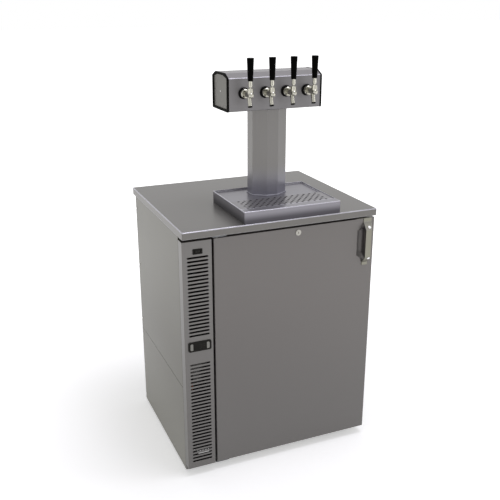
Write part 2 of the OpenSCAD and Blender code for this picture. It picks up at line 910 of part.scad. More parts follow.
module gasket_ring(xs, zs, ys, width) {
    plate_xz(ys)
    difference() {
        round_span(xs, zs, door_r);
        translate([xs[0] + width, zs[0] + width])
            square([size(xs) - 2 * width, size(zs) - 2 * width]);
    }
}

// Pull: a strip bridged over the finger pocket
module pull_strip() {
    feet_z = [pull_bend_z - pull_run - pull_slope - pull_foot, pull_top_z];
    face_y = door_y - pull_proud;
    color(steel)
    intersection() {
        plate_yz(around(pull_x, pull_foot_w * 2))
            difference() {
                pull_profile(0);
                pull_profile(pull_t);
            }
        plate_xz([face_y - over, door_y])
            polygon([[pull_x - pull_w / 2, feet_z[0]], [pull_x - pull_w / 2, feet_z[1]],
                [pull_x - pull_w / 2 + pull_foot_w, feet_z[1]],
                [pull_x - pull_w / 2 + pull_foot_w, feet_z[1] - pull_foot],
                [pull_x + pull_w / 2, pull_bend_z], [pull_x + pull_w / 2, feet_z[0]]]);
    }
    pull_cap();
}

// Flange that folds from the pull's upper foot over the door's upper edge
module pull_cap() {
    foot_xs = [pull_x - pull_w / 2, pull_x - pull_w / 2 + pull_foot_w];
    fold_zs = [door_zs[1], door_zs[1] + liner_t];
    color(steel) {
        block(foot_xs, [door_y - pull_t, door_y], [pull_top_z - over, fold_zs[1]]);
        block([foot_xs[0] - pull_tab, foot_xs[1]], [door_y - over, door_y + pull_flange], fold_zs);
    }
}

// Side view of the pull: outer line for 0, inner line for the strip's thickness
module pull_profile(inset) {
    face_y = door_y - pull_proud + inset;
    top = pull_bend_z - inset / 2;
    low = pull_bend_z - pull_run + inset / 2;
    foot = pull_slope + (inset > 0 ? -inset / 2 : pull_foot);
    polygon([[door_y + (inset > 0 ? over : 0), low - foot], [door_y - pull_t + inset, low - foot],
        [door_y - pull_t + inset, low - pull_slope + inset / 2], [face_y, low], [face_y, top],
        [door_y - pull_t + inset, top + pull_slope - inset / 2],
        [door_y - pull_t + inset, top + foot], [door_y + (inset > 0 ? over : 0), top + foot]]);
}

module lock_sleeve() {
    ring_t = lock_r * 0.2;
    color(bright)
    translate([lock_x, 0, lock_z])
    difference() {
        union() {
            rod_y(lock_r, [door_y - ring_t, door_y]);
            rod_y(lock_r - sheet - run_fit, [door_y, cam_y - loose]);
        }
        rod_y(plug_r + run_fit, [door_y - ring_t - over, cam_y]);
    }
}

// Lock plug with its cam; the cam lies level when the door is free to open
module lock_plug() {
    ring_t = lock_r * 0.2;
    color(bright)
    translate([lock_x, 0, lock_z]) {
        difference() {
            rod_y(plug_r, [door_y - ring_t * 1.2, cam_y]);
            block(around(0, plug_r * 0.25), [door_y - ring_t - over, door_y + ring_t],
                around(0, plug_r));
        }
        plate_xz([cam_y, cam_y + cam_t]) {
            circle(cam_w / 2);
            translate([-cam_l, -cam_w / 2])
                square([cam_l, cam_w]);
        }
    }
}

// Bracket plate with its pin, screwed to the front frame
module hinge_bracket(plate_zs, flange_zs, pin_zs) {
    xs = [pin_x - pin_in - hinge_t * 0.75, pin_x - pin_in - hinge_t * 0.75 + hinge_w];
    color(dark_steel) {
        plate_xy(plate_zs)
            round_span(xs, [pin_y - pin_r * 2, frame_y], pin_r / 2);
        block(xs, [frame_y - hinge_flange_t, frame_y], flange_zs);
        translate([pin_x, pin_y, 0]) rod_z(pin_r, pin_zs);
    }
}

module upper_hinge() {
    low = door_zs[1] + washer_t + loose;
    hinge_bracket([low, low + hinge_t], [door_zs[1] - gasket_in + loose, under_z],
        [door_zs[1] - bush_l * 0.9, low + hinge_t]);
}

module lower_hinge() {
    high = door_zs[0] - washer_t - loose;
    hinge_bracket([high - hinge_t, high], [foot_h + base_t, high],
        [high - hinge_t, door_zs[0] + bush_l * 0.9]);
}

// Bushes in the door's upper and lower edges, each with a washer flange
module hinge_bushes() {
    color(white)
    translate([pin_x, pin_y, 0])
    difference() {
        union() {
            rod_z(bush_r, [door_zs[0], door_zs[0] + bush_l]);
            rod_z(bush_r + washer_t, [door_zs[0] - washer_t, door_zs[0]]);
            rod_z(bush_r, [door_zs[1] - bush_l, door_zs[1]]);
            rod_z(bush_r + washer_t, [door_zs[1], door_zs[1] + washer_t]);
        }
        rod_z(pin_r + run_fit, grow(door_zs, washer_t + over));
    }
}

comp_y = back_y - comp_r - 2 * foot_in;
comp_leg = base_flange * 0.7;

// Hermetic compressor on four rubber-sleeved legs
module compressor() {
    leg = comp_leg;
    dome = comp_r * 0.35;
    color(black)
    translate([cond_x, comp_y, floor_z]) {
        translate([0, 0, leg])
            rotate_extrude() {
                square([comp_r, comp_h - dome]);
                square([comp_r - dome, comp_h]);
                translate([comp_r - dome, comp_h - dome]) circle(dome);
            }
        rod_z(comp_r + pipe_r / 2, around(leg + comp_h * 0.45, comp_r * 0.12));
        for (sx = [-1, 1], sy = [-1, 1]) {
            translate([sx * comp_r * 0.8, sy * comp_r * 0.8, 0]) {
                rod_z(comp_r * 0.13, [0, leg]);
                rod_z(comp_r * 0.08, [leg, leg + base_t * 3]);
            }
        }
        plate_xy([leg - base_t, leg])
            round_rect(comp_r * 1.9, comp_r * 1.9, comp_r * 0.2);
    }
}

// Finned coil with its tubes
module fin_pack(xs, ys, zs, fins, tube_rows) {
    gap = size(zs) / tube_rows;
    for (i = [0 : fins - 1])
        block(around(xs[0] + (i + 0.5) * size(xs) / fins, sheet), ys, zs);
    for (i = [0 : tube_rows - 1], share = [1 - back_row_share, back_row_share])
        translate([0, ys[0] + size(ys) * share, zs[0] + (i + 0.5) * gap])
            rod_x(pipe_r * 0.9, grow(xs, -loose));
}

module condenser_coil() {
    zs = around(cond_z, cond_h);
    color(dark_steel) {
        fin_pack(around(cond_x, cond_w), around(cond_y, cond_d), zs, 12, 8);
        for (s = [-1, 1])
            block(around(cond_x + s * (cond_w / 2 - sheet), sheet), around(cond_y, cond_d),
                [floor_z, zs[1]]);
    }
}

// Shroud, spider and motor behind the condenser
module condenser_motor() {
    motor_r = fan_r * 0.42;
    color(dark_steel)
    difference() {
        union() {
            plate_xz([shroud_y, shroud_y + sheet])
                translate([cond_x, cond_z]) square([cond_w, cond_h], center = true);
            translate([cond_x, 0, cond_z]) {
                rod_y(fan_r + near + sheet * 2, [shroud_y, shroud_y + shroud_t]);
            }
        }
        translate([cond_x, 0, cond_z])
            rod_y(fan_r + near + sheet, [shroud_y - over, shroud_y + shroud_t + over]);
    }
    color(black)
    translate([cond_x, 0, cond_z]) {
        rod_y(motor_r, [shroud_y + shroud_t, shroud_y + shroud_t + motor_r * 2]);
        for (a = [45 : 90 : 315])
            rotate([0, a, 0])
                block([0, fan_r + near + sheet * 1.5], [shroud_y + shroud_t - base_t, shroud_y + shroud_t],
                    around(0, motor_r * 0.25));
    }
    color(dark_steel)
    translate([cond_x, 0, cond_z])
        rod_y(pipe_r * 0.75, [shroud_y + shroud_t * 0.3, shroud_y + shroud_t]);
}

// Axial fan: hub and pitched blades, bored for the motor's shaft
module fan(r, depth, bore, blades) {
    hub = r * 0.3;
    difference() {
        union() {
            rod_y(hub, around(0, depth));
            intersection() {
                rod_y(r, around(0, depth));
                for (i = [0 : blades - 1])
                    rotate([0, i * 360 / blades, 0])
                        rotate([30, 0, 0])
                            block([0, r], around(0, r * 0.05), around(0, r * 0.62));
            }
        }
        rod_y(bore, around(0, depth + over));
    }
}

module condenser_fan() {
    color(dark_steel)
    translate([cond_x, shroud_y + shroud_t * 0.42, cond_z])
        fan(fan_r - near, shroud_t * 0.5, pipe_r * 0.75 + run_fit, 5);
}

evap_coil_ys = [evap_y - evap_d * 0.62, evap_y - evap_d * 0.3];
evap_coil_zs = [evap_z - evap_h + 2 * pipe_r, evap_z - pipe_r];
evap_gap = size(evap_coil_zs) / evap_rows;
evap_port_y = evap_coil_ys[0] + size(evap_coil_ys) * back_row_share;
evap_ports = [[evap_port_y, evap_coil_zs[0] + evap_gap / 2], [evap_port_y, evap_coil_zs[1] - evap_gap / 2]];

// Discharge, liquid and suction lines, with the drier in the liquid line
module refrigerant_lines() {
    bend = 3 * pipe_r;
    run_x = bay_xs[1] - 4 * pipe_r;
    discharge_x = cond_x - comp_r * 0.4;
    suction_x = cond_x + comp_r * 0.3;
    comp_top = floor_z + comp_leg + comp_h;
    coil_top = cond_z + cond_h / 2;
    high = coil_top + 8 * pipe_r;
    behind_y = cond_y + cond_d * 0.2;
    coil_x = evap_x - evap_w * evap_coil_share / 2;
    color(copper) {
        pipe([[discharge_x, comp_y, comp_top], [discharge_x, comp_y, high],
            [discharge_x, behind_y, high], [discharge_x, behind_y, coil_top]], bend, pipe_r);
        pipe([[run_x, behind_y, coil_top], [run_x, behind_y, evap_ports[0][1]],
            [run_x, evap_ports[0][0], evap_ports[0][1]],
            [coil_x, evap_ports[0][0], evap_ports[0][1]]], bend, pipe_r);
        pipe([[suction_x, comp_y, comp_top], [suction_x, comp_y, evap_ports[1][1]],
            [suction_x, evap_ports[1][0], evap_ports[1][1]],
            [coil_x, evap_ports[1][0], evap_ports[1][1]]], bend, pipe_r);
        translate([run_x, behind_y, 0])
            rod_z(2.2 * pipe_r, [high + drier_l / 2, high + 3 * drier_l / 2]);
    }
}

// Power inlet outline in the rear panel
module inlet_outline(gap) {
    translate([cond_x, middle(inlet_zs)])
        round_rect(comp_r * 0.7 + 2 * gap, size(inlet_zs) * 0.36 + 2 * gap, pipe_r / 2);
}

inlet_zs = [seam_z + comp_r, seam_z + comp_r * 2.2];

// Electrical box with the power inlet in its rear face
module electrical_box() {
    xs = around(cond_x, comp_r * 1.5);
    ys = [back_y - sheet - comp_r * 0.8, back_y - sheet];
    color(dark_steel)
    difference() {
        union() {
            block(xs, ys, inlet_zs);
            plate_xz([ys[1], back_y + pipe_r / 2]) inlet_outline(0);
        }
        for (x = [-1, 0, 1])
            translate([cond_x + x * comp_r * 0.16, 0, middle(inlet_zs) + abs(x) * pipe_r])
                block(around(0, pipe_r * 0.6), [ys[1] - comp_r * 0.2, back_y + comp_r],
                    around(0, pipe_r * 1.4));
    }
}

module evaporator_coil() {
    xs = around(evap_x, evap_w * evap_coil_share);
    color(dark_steel) {
        fin_pack(xs, evap_coil_ys, evap_coil_zs, 16, evap_rows);
        for (s = [-1, 1])
            block(around(evap_x + s * (size(xs) / 2 - sheet), sheet), evap_coil_ys,
                [evap_coil_zs[0], evap_z]);
    }
}

// Cover under the ceiling, with the fan's motor on its front wall
module evaporator_cover() {
    xs = around(evap_x, evap_w);
    ys = [evap_y - evap_d, evap_y];
    zs = [evap_z - evap_h, evap_z];
    fan_z = middle(zs);
    color(white)
    difference() {
        block(xs, ys, zs);
        block(grow(xs, -liner_t), grow(ys, -liner_t), [zs[0] + liner_t, zs[1] + over]);
        translate([evap_x, 0, fan_z])
            rod_y(evap_fan_r + near, [ys[0] - over, ys[0] + liner_t + over]);
        for (s = [-1, 1], i = [0 : 3])
            translate([evap_x + s * evap_w * 0.3, evap_y - evap_d * 0.75 + i * slot_pitch * 2, 0])
                plate_xy([zs[0] - over, zs[0] + liner_t + over]) slot(slot_l, slot_h);
        for (p = evap_ports)
            translate([0, p[0], p[1]]) rod_x(pipe_r + loose, [xs[0] - over, xs[0] + liner_t + over]);
    }
    color(black)
    translate([evap_x, 0, fan_z]) {
        rod_y(evap_fan_r * 0.45, [evap_fan_y + evap_fan_r * 0.45, evap_fan_y + evap_fan_r]);
        rod_y(pipe_r * 0.6, [evap_fan_y - evap_fan_r * 0.2, evap_fan_y + evap_fan_r * 0.45]);
        block(around(0, evap_fan_r * 0.4), [evap_fan_y + evap_fan_r * 0.5, evap_fan_y + evap_fan_r * 0.9],
            [liner_t - evap_h / 2, 0]);
    }
}

module evaporator_fan() {
    color(black)
    translate([evap_x, evap_fan_y, evap_z - evap_h / 2])
        fan(evap_fan_r - near, evap_fan_r * 0.4, pipe_r * 0.6 + run_fit, 5);
}

// Tray: round rim, front strip, rear deck, and a well under the grid that drains through a hole
module drip_tray() {
    xs = around(tower_x, tray_w);
    ys = [tray_y, tray_y + tray_d];
    zs = [top_z, tray_z];
    well_xs = grow(xs, -sheet * 2);
    well_ys = grow([grid_y, grid_y + grid_d], grid_gap);
    ledge = grid_gap + sheet * 3;
    basin_xs = grow(well_xs, -ledge);
    basin_ys = grow(well_ys, -ledge - notch_d);
    color(steel)
    difference() {
        intersection() {
            plate_xy(zs) round_span(xs, ys, sheet * 2);
            plate_yz(grow(xs, over)) edge_profile(ys, zs, sheet * 1.6);
            plate_xz(grow(ys, over)) edge_profile(xs, zs, sheet * 1.6);
        }
        block(well_xs, [well_ys[1] - over, ys[1] - sheet * 2], [deck_z, tray_z + over]);
        block(well_xs, well_ys, [grid_zs[0], tray_z + over]);
        block(basin_xs, basin_ys, [top_z, tray_z + over]);
        tray_hollow(xs, ys, well_ys);
        translate([tower_x, tower_y, 0]) rod_z(duct_r + loose, [top_z - over, tray_z + over]);
    }
    color(steel) tray_pan(basin_xs, basin_ys);
}

// Space under the sheet of the tray, open below, with a sleeve round the tower duct
module tray_hollow(xs, ys, well_ys) {
    hollow_xs = grow(xs, -sheet);
    difference() {
        union() {
            block(hollow_xs, grow(ys, -sheet), [top_z - over, deck_z - sheet]);
            block(hollow_xs, [ys[0] + sheet, well_ys[0] - sheet], [top_z - over, tray_z - sheet]);
        }
        block(xs, grow(well_ys, sheet), [grid_zs[0] - sheet, tray_z]);
        translate([tower_x, tower_y, 0]) rod_z(duct_r + loose + sheet, [top_z, tray_z]);
    }
}

// Pan that hangs below the tray's ledges, with the hole for the drain tube
module tray_pan(xs, ys) {
    difference() {
        block(grow(xs, sheet), grow(ys, sheet), [top_z, grid_zs[0] - sheet - loose]);
        block(xs, ys, [top_z + base_t, tray_z]);
        translate([drain_x, drain_y, 0]) rod_z(drain_wide_r + run_fit, [top_z - over, tray_z]);
    }
}

// Outline of the grid with notched front corners, shrunk by an inset
module grid_outline(inset) {
    xs = around(tower_x, grid_w);
    ys = [grid_y, grid_y + grid_d];
    corner_r = sheet * 2 - inset;
    round_span(grow(xs, -inset), [ys[0] + notch_d + inset, ys[1] - inset], corner_r);
    round_span(grow(xs, -notch_w - inset), grow(ys, -inset), corner_r);
}

// Lift-out grid with a folded edge, a round lip in front and staggered holes
module drip_grid() {
    xs = around(tower_x, tray_w);
    ys = [grid_y, grid_y + grid_d];
    color(steel)
    difference() {
        intersection() {
            plate_xy(grid_zs) grid_outline(0);
            plate_yz(xs) edge_profile(ys, grid_zs, lip_r);
        }
        intersection() {
            plate_xy([grid_zs[0] - over, grid_zs[1] - sheet]) grid_outline(sheet);
            plate_yz(xs)
                edge_profile(grow(ys, -sheet), [grid_zs[0] - over, grid_zs[1] - sheet], lip_r - sheet);
        }
        plate_xy([grid_zs[0] - over, grid_zs[1] + over])
            for (row = [0 : hole_rows - 1], i = [0 : hole_count - 1 - row % 2])
                translate([tower_x + (i - (hole_count - 1 - row % 2) / 2) * hole_pitch,
                    middle(ys) + (row - (hole_rows - 1) / 2) * hole_row])
                    circle(d = hole_d);
    }
}

// Drain tube from the well down into the keg space, where its tail takes a hose
module drain_tube() {
    color(bright)
    translate([drain_x, drain_y, 0])
    difference() {
        union() {
            rod_z(drain_wide_r, [tail_zs[1], top_z + base_t]);
            rod_z(drain_r, [tail_zs[0], tail_zs[1] + over]);
        }
        rod_z(drain_r - sheet, [tail_zs[0] - over, top_z + base_t + over]);
    }
}

// Convex outline, listed anticlockwise, with round corners
module round_polygon(points, r) {
    n = len(points);
    backs = [for (i = [0 : n - 1]) unit(points[(i + n - 1) % n] - points[i])];
    aheads = [for (i = [0 : n - 1]) unit(points[(i + 1) % n] - points[i])];
    halves = [for (i = [0 : n - 1]) acos(backs[i] * aheads[i]) / 2];
    polygon([for (i = [0 : n - 1], way = [backs[i], aheads[i]])
        points[i] + way * r / tan(halves[i])]);
    for (i = [0 : n - 1])
        translate(points[i] + unit(backs[i] + aheads[i]) * r / sin(halves[i])) circle(r);
}

function unit(v) = v / norm(v);

// Eight sided outline of the column, grown by a margin
module octagon(grow_by) {
    w = column_w / 2 + grow_by;
    d = column_d / 2 + grow_by;
    cut_w = corner_w + grow_by * corner_w / (corner_w + corner_d);
    cut_d = corner_d + grow_by * corner_d / (corner_w + corner_d);
    round_polygon([[w - cut_w, -d], [w, cut_d - d], [w, d - cut_d], [w - cut_w, d],
        [cut_w - w, d], [-w, d - cut_d], [-w, cut_d - d], [cut_w - w, -d]],
        max(bend_r + grow_by, bend_r / 3));
}

module tower_column() {
    zs = [deck_z, head_z];
    color(steel)
    translate([tower_x, tower_y, 0])
    difference() {
        union() {
            plate_xy(zs) octagon(0);
            plate_xy([deck_z, deck_z + column_foot_t]) octagon(column_foot);
            plate_xy([head_z - column_foot_t, head_z]) octagon(column_foot);
        }
        plate_xy([deck_z + column_foot_t, head_z + over]) octagon(-tower_t);
        rod_z(duct_r + loose, [deck_z - over, deck_z + column_foot_t + over]);
    }
}

// Side view of the head, grown by a margin, about its lower middle
module head_profile(grow_by) {
    d = head_d / 2 + grow_by;
    shift = grow_by * (slope_d - slope_h) / (slope_d + slope_h);
    translate([tower_y, head_z])
        round_polygon([[d, -grow_by], [d, head_h - slope_h + shift / 2],
            [d - slope_d + shift / 2, head_h + grow_by], [slope_d - d - shift / 2, head_h + grow_by],
            [-d, head_h - slope_h + shift / 2], [-d, -grow_by]],
            max(bend_r + grow_by, bend_r / 3));
}

shell_xs = grow(around(tower_x, head_w), -trim_t);

module tower_head() {
    color(steel)
    difference() {
        plate_yz(shell_xs) head_profile(0);
        plate_yz(grow(shell_xs, over)) head_profile(-tower_t);
        for (i = [0 : taps - 1])
            translate([tap_x(i), 0, shank_z])
                rod_y(shank_r + run_fit, [head_y - over, head_y + tower_t + over]);
        translate([tower_x, tower_y, 0])
            plate_xy([head_z - over, head_z + tower_t + over]) octagon(-tower_t);
    }
}

// Foam that fills the column round the beer lines
module tower_foam() {
    color(pale_foam)
    translate([tower_x, tower_y, 0])
    difference() {
        plate_xy([deck_z + column_foot_t, head_z]) octagon(-tower_t);
        rod_z(duct_r, [deck_z, head_z + over]);
    }
}

module end_trims() {
    head_xs = around(tower_x, head_w);
    color(black)
    for (xs = [[head_xs[0], shell_xs[0]], [shell_xs[1], head_xs[1]]])
        plate_yz(xs)
        difference() {
            head_profile(sheet / 2);
            head_profile(-trim_w);
        }
}

// End plates, set a little inside the rubber edging
module end_plates() {
    color(steel)
    for (side = [-1, 1]) {
        x = tower_x + side * size(shell_xs) / 2;
        plate_yz(around(x + side * plate_t / 2, plate_t)) head_profile(-trim_w);
        plate_yz(around(x - side * plate_t / 2, plate_t)) head_profile(-tower_t);
    }
}

module shanks() {
    color(bright)
    for (i = [0 : taps - 1])
        translate([tap_x(i), 0, shank_z])
        difference() {
            union() {
                rod_y(shank_r, [head_y - flange_t - nut_l * 0.4, head_y + shank_in]);
                translate([0, head_y + tower_t + shank_r * 0.8, 0])
                    rotate([90, 0, 0])
                        cylinder(r = shank_r * 1.5, h = shank_r * 0.8, $fn = 6);
                rod_y(line_r * 0.8, [head_y + shank_in, head_y + shank_in + line_d * 1.6]);
            }
            rod_y(line_r * 0.55, [head_y - flange_t - nut_l, head_y + shank_in + line_d * 2]);
        }
}

module shank_flanges() {
    bevel = flange_t * 0.35;
    color(black)
    for (i = [0 : taps - 1])
        translate([tap_x(i), 0, shank_z])
        difference() {
            turned_y(head_y)
                polygon([[0, 0], [flange_r, 0], [flange_r, flange_t - bevel],
                    [flange_r - bevel, flange_t], [0, flange_t]]);
            rod_y(shank_r + run_fit, [head_y - flange_t - over, head_y + over]);
        }
}

// Coupling nuts with spanner holes
module coupling_nuts() {
    start = head_y - flange_t;
    bevel = nut_l * 0.12;
    color(bright)
    for (i = [0 : taps - 1])
        translate([tap_x(i), 0, shank_z])
        difference() {
            turned_y(start)
                polygon([[0, 0], [nut_r - bevel, 0], [nut_r, bevel], [nut_r, nut_l - bevel],
                    [nut_r - bevel, nut_l], [0, nut_l]]);
            rod_y(shank_r + run_fit, [start - nut_l * 0.8, start + over]);
            rod_y(barrel_r + run_fit, [start - nut_l - over, start]);
            for (a = [0 : 60 : 300])
                rotate([0, a, 0])
                    translate([0, start - nut_l / 2, 0])
                        rod_z(nut_l * 0.15, [nut_r - bevel, nut_r + over]);
        }
}

barrel_end = head_y - flange_t - nut_l * 0.4;
seat_y = tap_y + barrel_r * 2.4;
bore_r = barrel_r * 0.72;
cap_up = ball_r * 0.48;
ring_t = 3.6;
ring_r = barrel_r * 0.55;
tip_r = 2.2;
tip_down = pivot_up + tip_r * 0.4;
stem_small_r = tip_r * 0.68;
spout_top_y = tap_y + spout_r * 1.9;
spout_end_y = tap_y + spout_r * 0.2;

module at_tap(i) {
    translate([tap_x(i), 0, 0]) children();
}

// Faucet: barrel, lever socket and spout, hollow for the lever and the valve
module faucet_body() {
    nose = barrel_r * 1.5;
    chamber_y = seat_y + barrel_r * 0.7;
    spout_axis = [0, spout_end_y - spout_top_y, -spout_drop];
    spout_dir = spout_axis / norm(spout_axis);
    start = [0, spout_top_y, shank_z];
    end = start + spout_axis;
    stem_gap = around(0, 2 * (stem_small_r + near));
    color(bright)
    difference() {
        union() {
            translate([0, 0, shank_z]) {
                rod_y(barrel_r, [tap_y - nose * 0.4, barrel_end]);
                translate([0, tap_y - nose * 0.4, 0]) sphere(barrel_r);
            }
            translate([0, tap_y, 0])
                rod_z(ball_r + barrel_r * 0.22, [shank_z, pivot_z + cap_up]);
            translate([0, tap_y, 0])
                rod_z(ball_r + barrel_r * 0.32, [pivot_z - ball_r * 1.6, pivot_z - ball_r * 0.4]);
            bar(start, end, spout_r);
        }
        translate([0, 0, shank_z]) {
            rod_y(bore_r, [tap_y - nose * 0.55, seat_y]);
            rod_y(ring_r, [seat_y - over, chamber_y + over]);
            rod_y(bore_r, [chamber_y, barrel_end + over]);
        }
        translate([0, tap_y, pivot_z]) {
            sphere(ball_r + run_fit * 2);
            block(stem_gap, [-stem_small_r - near, pivot_up * 0.48], [bore_r * 0.5 - pivot_up, -barrel_r]);
            block(stem_gap, [-stem_small_r - near, pivot_up * 0.4], [-barrel_r - over, -ball_r * 0.7]);
        }
        bar(start, end + spout_dir * over, spout_r * 0.68);
    }
}

module faucet_bodies() {
    for (i = [0 : taps - 1]) at_tap(i) faucet_body();
}

neck_r = ball_r * 0.43;
ferrule_r = ball_r * 0.93;
ferrule_up = ball_r * 1.18;
handle_up = pivot_up * 1.48;

// Lever: ball, stem with a round tip below, neck and ferrule above
module tap_lever(i) {
    color(bright)
    translate([tap_x(i), tap_y, pivot_z]) {
        sphere(ball_r);
        rod_z(stem_small_r, [-tip_down, 0]);
        translate([0, 0, -tip_down]) sphere(tip_r);
        rod_z(neck_r, [0, handle_up + neck_r * 4]);
        rotate_extrude()
            polygon([[0, ferrule_up], [ferrule_r * 0.9, ferrule_up], [ferrule_r, ferrule_up + neck_r],
                [ferrule_r * 0.92, handle_up - neck_r], [ferrule_r, handle_up], [0, handle_up]]);
    }
}

// Tapered handle, screwed on the lever's neck
module tap_handle(i) {
    edge = handle_low_w * 0.12;
    low = handle_low_w / 2;
    top = handle_top_w / 2;
    color(black)
    translate([tap_x(i), tap_y, pivot_z + handle_up])
    difference() {
        rotate_extrude() {
            polygon([[0, 0], [low, 0], [top, handle_l - edge], [top - edge, handle_l - edge],
                [top - edge, handle_l], [0, handle_l]]);
            translate([top - edge, handle_l - edge]) circle(edge);
        }
        rod_z(neck_r + run_fit, [-over, neck_r * 4 + run_fit]);
    }
}

// Valve shaft: ring round the lever's tip, rod, and the seal behind its seat
module tap_valve(i) {
    chamber_y = seat_y + barrel_r * 0.7;
    color(white)
    translate([tap_x(i), 0, shank_z]) {
        difference() {
            translate([0, tap_y, 0])
                rod_z(ring_r - loose, around(0, ring_t));
            translate([0, tap_y, 0])
                rod_z(tip_r * 1.34, around(0, ring_t + over));
        }
        rod_y(ring_t * 0.45, [tap_y + tip_r * 1.7, chamber_y + loose]);
        rod_y(bore_r - loose, [chamber_y + loose, chamber_y + loose + tip_r]);
    }
}

// Four beer lines from the shank tails through the column to the keg space
module beer_lines() {
    tail_y = head_y + shank_in + line_d * 0.8;
    low_z = room_zs[1] - line_tail;
    color(white)
    for (i = [0 : taps - 1]) {
        side = i < taps / 2 ? -1 : 1;
        outer = abs(tap_x(i) - tower_x) > tap_pitch;
        back = outer ? tower_y + line_d * 1.55 : tower_y + line_d * 0.1;
        in_x = tower_x + side * line_d * (outer ? 1.7 : 0.75);
        difference() {
            pipe([[tap_x(i), tail_y, shank_z], [tap_x(i), back, shank_z],
                [in_x, back, shank_z], [in_x, back, low_z]], line_bend, line_r);
            translate([tap_x(i), 0, shank_z])
                rod_y(line_r * 0.8, [tail_y - over, tail_y + line_d * 0.8]);
        }
    }
}

base_pan();
levelling_feet();
left_upper_panel();
left_lower_panel();
rear_panel();
cabinet_wrapper();
cabinet_foam();
cabinet_liner();
front_frame();
grille_panel();
switch_bezel();
switch_rocker();
controller_case();
left_key();
right_key();
countertop();
door_skin();
door_foam();
door_liner();
door_gasket();
pull_strip();
lock_sleeve();
lock_plug();
upper_hinge();
lower_hinge();
hinge_bushes();
compressor();
condenser_coil();
condenser_motor();
condenser_fan();
refrigerant_lines();
electrical_box();
evaporator_coil();
evaporator_cover();
evaporator_fan();
drip_tray();
drip_grid();
drain_tube();
tower_column();
tower_head();
tower_foam();
end_plates();
end_trims();
shanks();
shank_flanges();
coupling_nuts();
faucet_bodies();
beer_lines();
tap_lever(0);  // tap_lever_1
tap_lever(1);  // tap_lever_2
tap_lever(2);  // tap_lever_3
tap_lever(3);  // tap_lever_4
tap_handle(0);  // tap_handle_1
tap_handle(1);  // tap_handle_2
tap_handle(2);  // tap_handle_3
tap_handle(3);  // tap_handle_4
tap_valve(0);  // tap_valve_1
tap_valve(1);  // tap_valve_2
tap_valve(2);  // tap_valve_3
tap_valve(3);  // tap_valve_4
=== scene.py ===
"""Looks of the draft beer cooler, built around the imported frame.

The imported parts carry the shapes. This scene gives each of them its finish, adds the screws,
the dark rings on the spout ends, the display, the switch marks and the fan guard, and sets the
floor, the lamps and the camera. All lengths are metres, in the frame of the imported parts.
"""

import logging
import math
from collections.abc import Callable, Iterator, Sequence
from contextlib import contextmanager
from dataclasses import dataclass, field
from enum import Enum
from typing import ClassVar

import bmesh
import bpy
from mathutils import Matrix, Vector


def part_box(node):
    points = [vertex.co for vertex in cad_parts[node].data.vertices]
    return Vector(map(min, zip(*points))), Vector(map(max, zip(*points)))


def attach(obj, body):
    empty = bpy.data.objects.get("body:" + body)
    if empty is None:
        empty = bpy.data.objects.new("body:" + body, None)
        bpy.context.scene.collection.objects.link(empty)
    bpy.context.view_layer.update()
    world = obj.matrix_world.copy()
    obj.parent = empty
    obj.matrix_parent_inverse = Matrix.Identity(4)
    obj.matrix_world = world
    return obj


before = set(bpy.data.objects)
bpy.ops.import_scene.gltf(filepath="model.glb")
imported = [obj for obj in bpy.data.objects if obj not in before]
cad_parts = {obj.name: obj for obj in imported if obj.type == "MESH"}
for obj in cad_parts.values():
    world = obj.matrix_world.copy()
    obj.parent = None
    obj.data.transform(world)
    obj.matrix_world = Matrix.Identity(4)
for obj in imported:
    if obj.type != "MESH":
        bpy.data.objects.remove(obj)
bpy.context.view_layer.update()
log = logging.getLogger("beer_cooler")

Colour = tuple[float, float, float]
FULL_TURN = 2 * math.pi
# How far outside a part the lines start that look for its surface
REACH = 0.1
# Tilt of a normal over which a painted highlight starts on a fold
PAINTED_HIGHLIGHT_START = (0.12, 0.3)
# How far under the tilt of the flat upper faces the painted highlight starts to end, and ends
PAINTED_HIGHLIGHT_STOP = (0.12, 0.03)


def tone(red: int, green: int, blue: int) -> Colour:
    """Turns the screen values of a colour, 0 to 255, into the linear values of a shader."""
    shares = (value / 255 for value in (red, green, blue))
    return tuple(s / 12.92 if s <= 0.04045 else ((s + 0.055) / 1.055) ** 2.4 for s in shares)


def scaled(colour: Colour, factor: float) -> Colour:
    """Makes a colour darker or lighter by a factor."""
    return tuple(value * factor for value in colour)


# ---- Shader graphs ----


class Signal:
    """A shader socket that can be written in a Python expression."""

    def __init__(self, graph: "Graph", socket: bpy.types.NodeSocket) -> None:
        """Wraps a socket of a graph."""
        self.graph = graph
        self.socket = socket

    def __add__(self, other: "Signal | float") -> "Signal":
        """Adds."""
        return self.graph.maths("ADD", self, other)

    def __sub__(self, other: "Signal | float") -> "Signal":
        """Subtracts."""
        return self.graph.maths("SUBTRACT", self, other)

    def __rsub__(self, other: "Signal | float") -> "Signal":
        """Subtracts this signal from a number."""
        return self.graph.maths("SUBTRACT", other, self)

    def __mul__(self, other: "Signal | float") -> "Signal":
        """Multiplies."""
        return self.graph.maths("MULTIPLY", self, other)

    __radd__ = __add__
    __rmul__ = __mul__


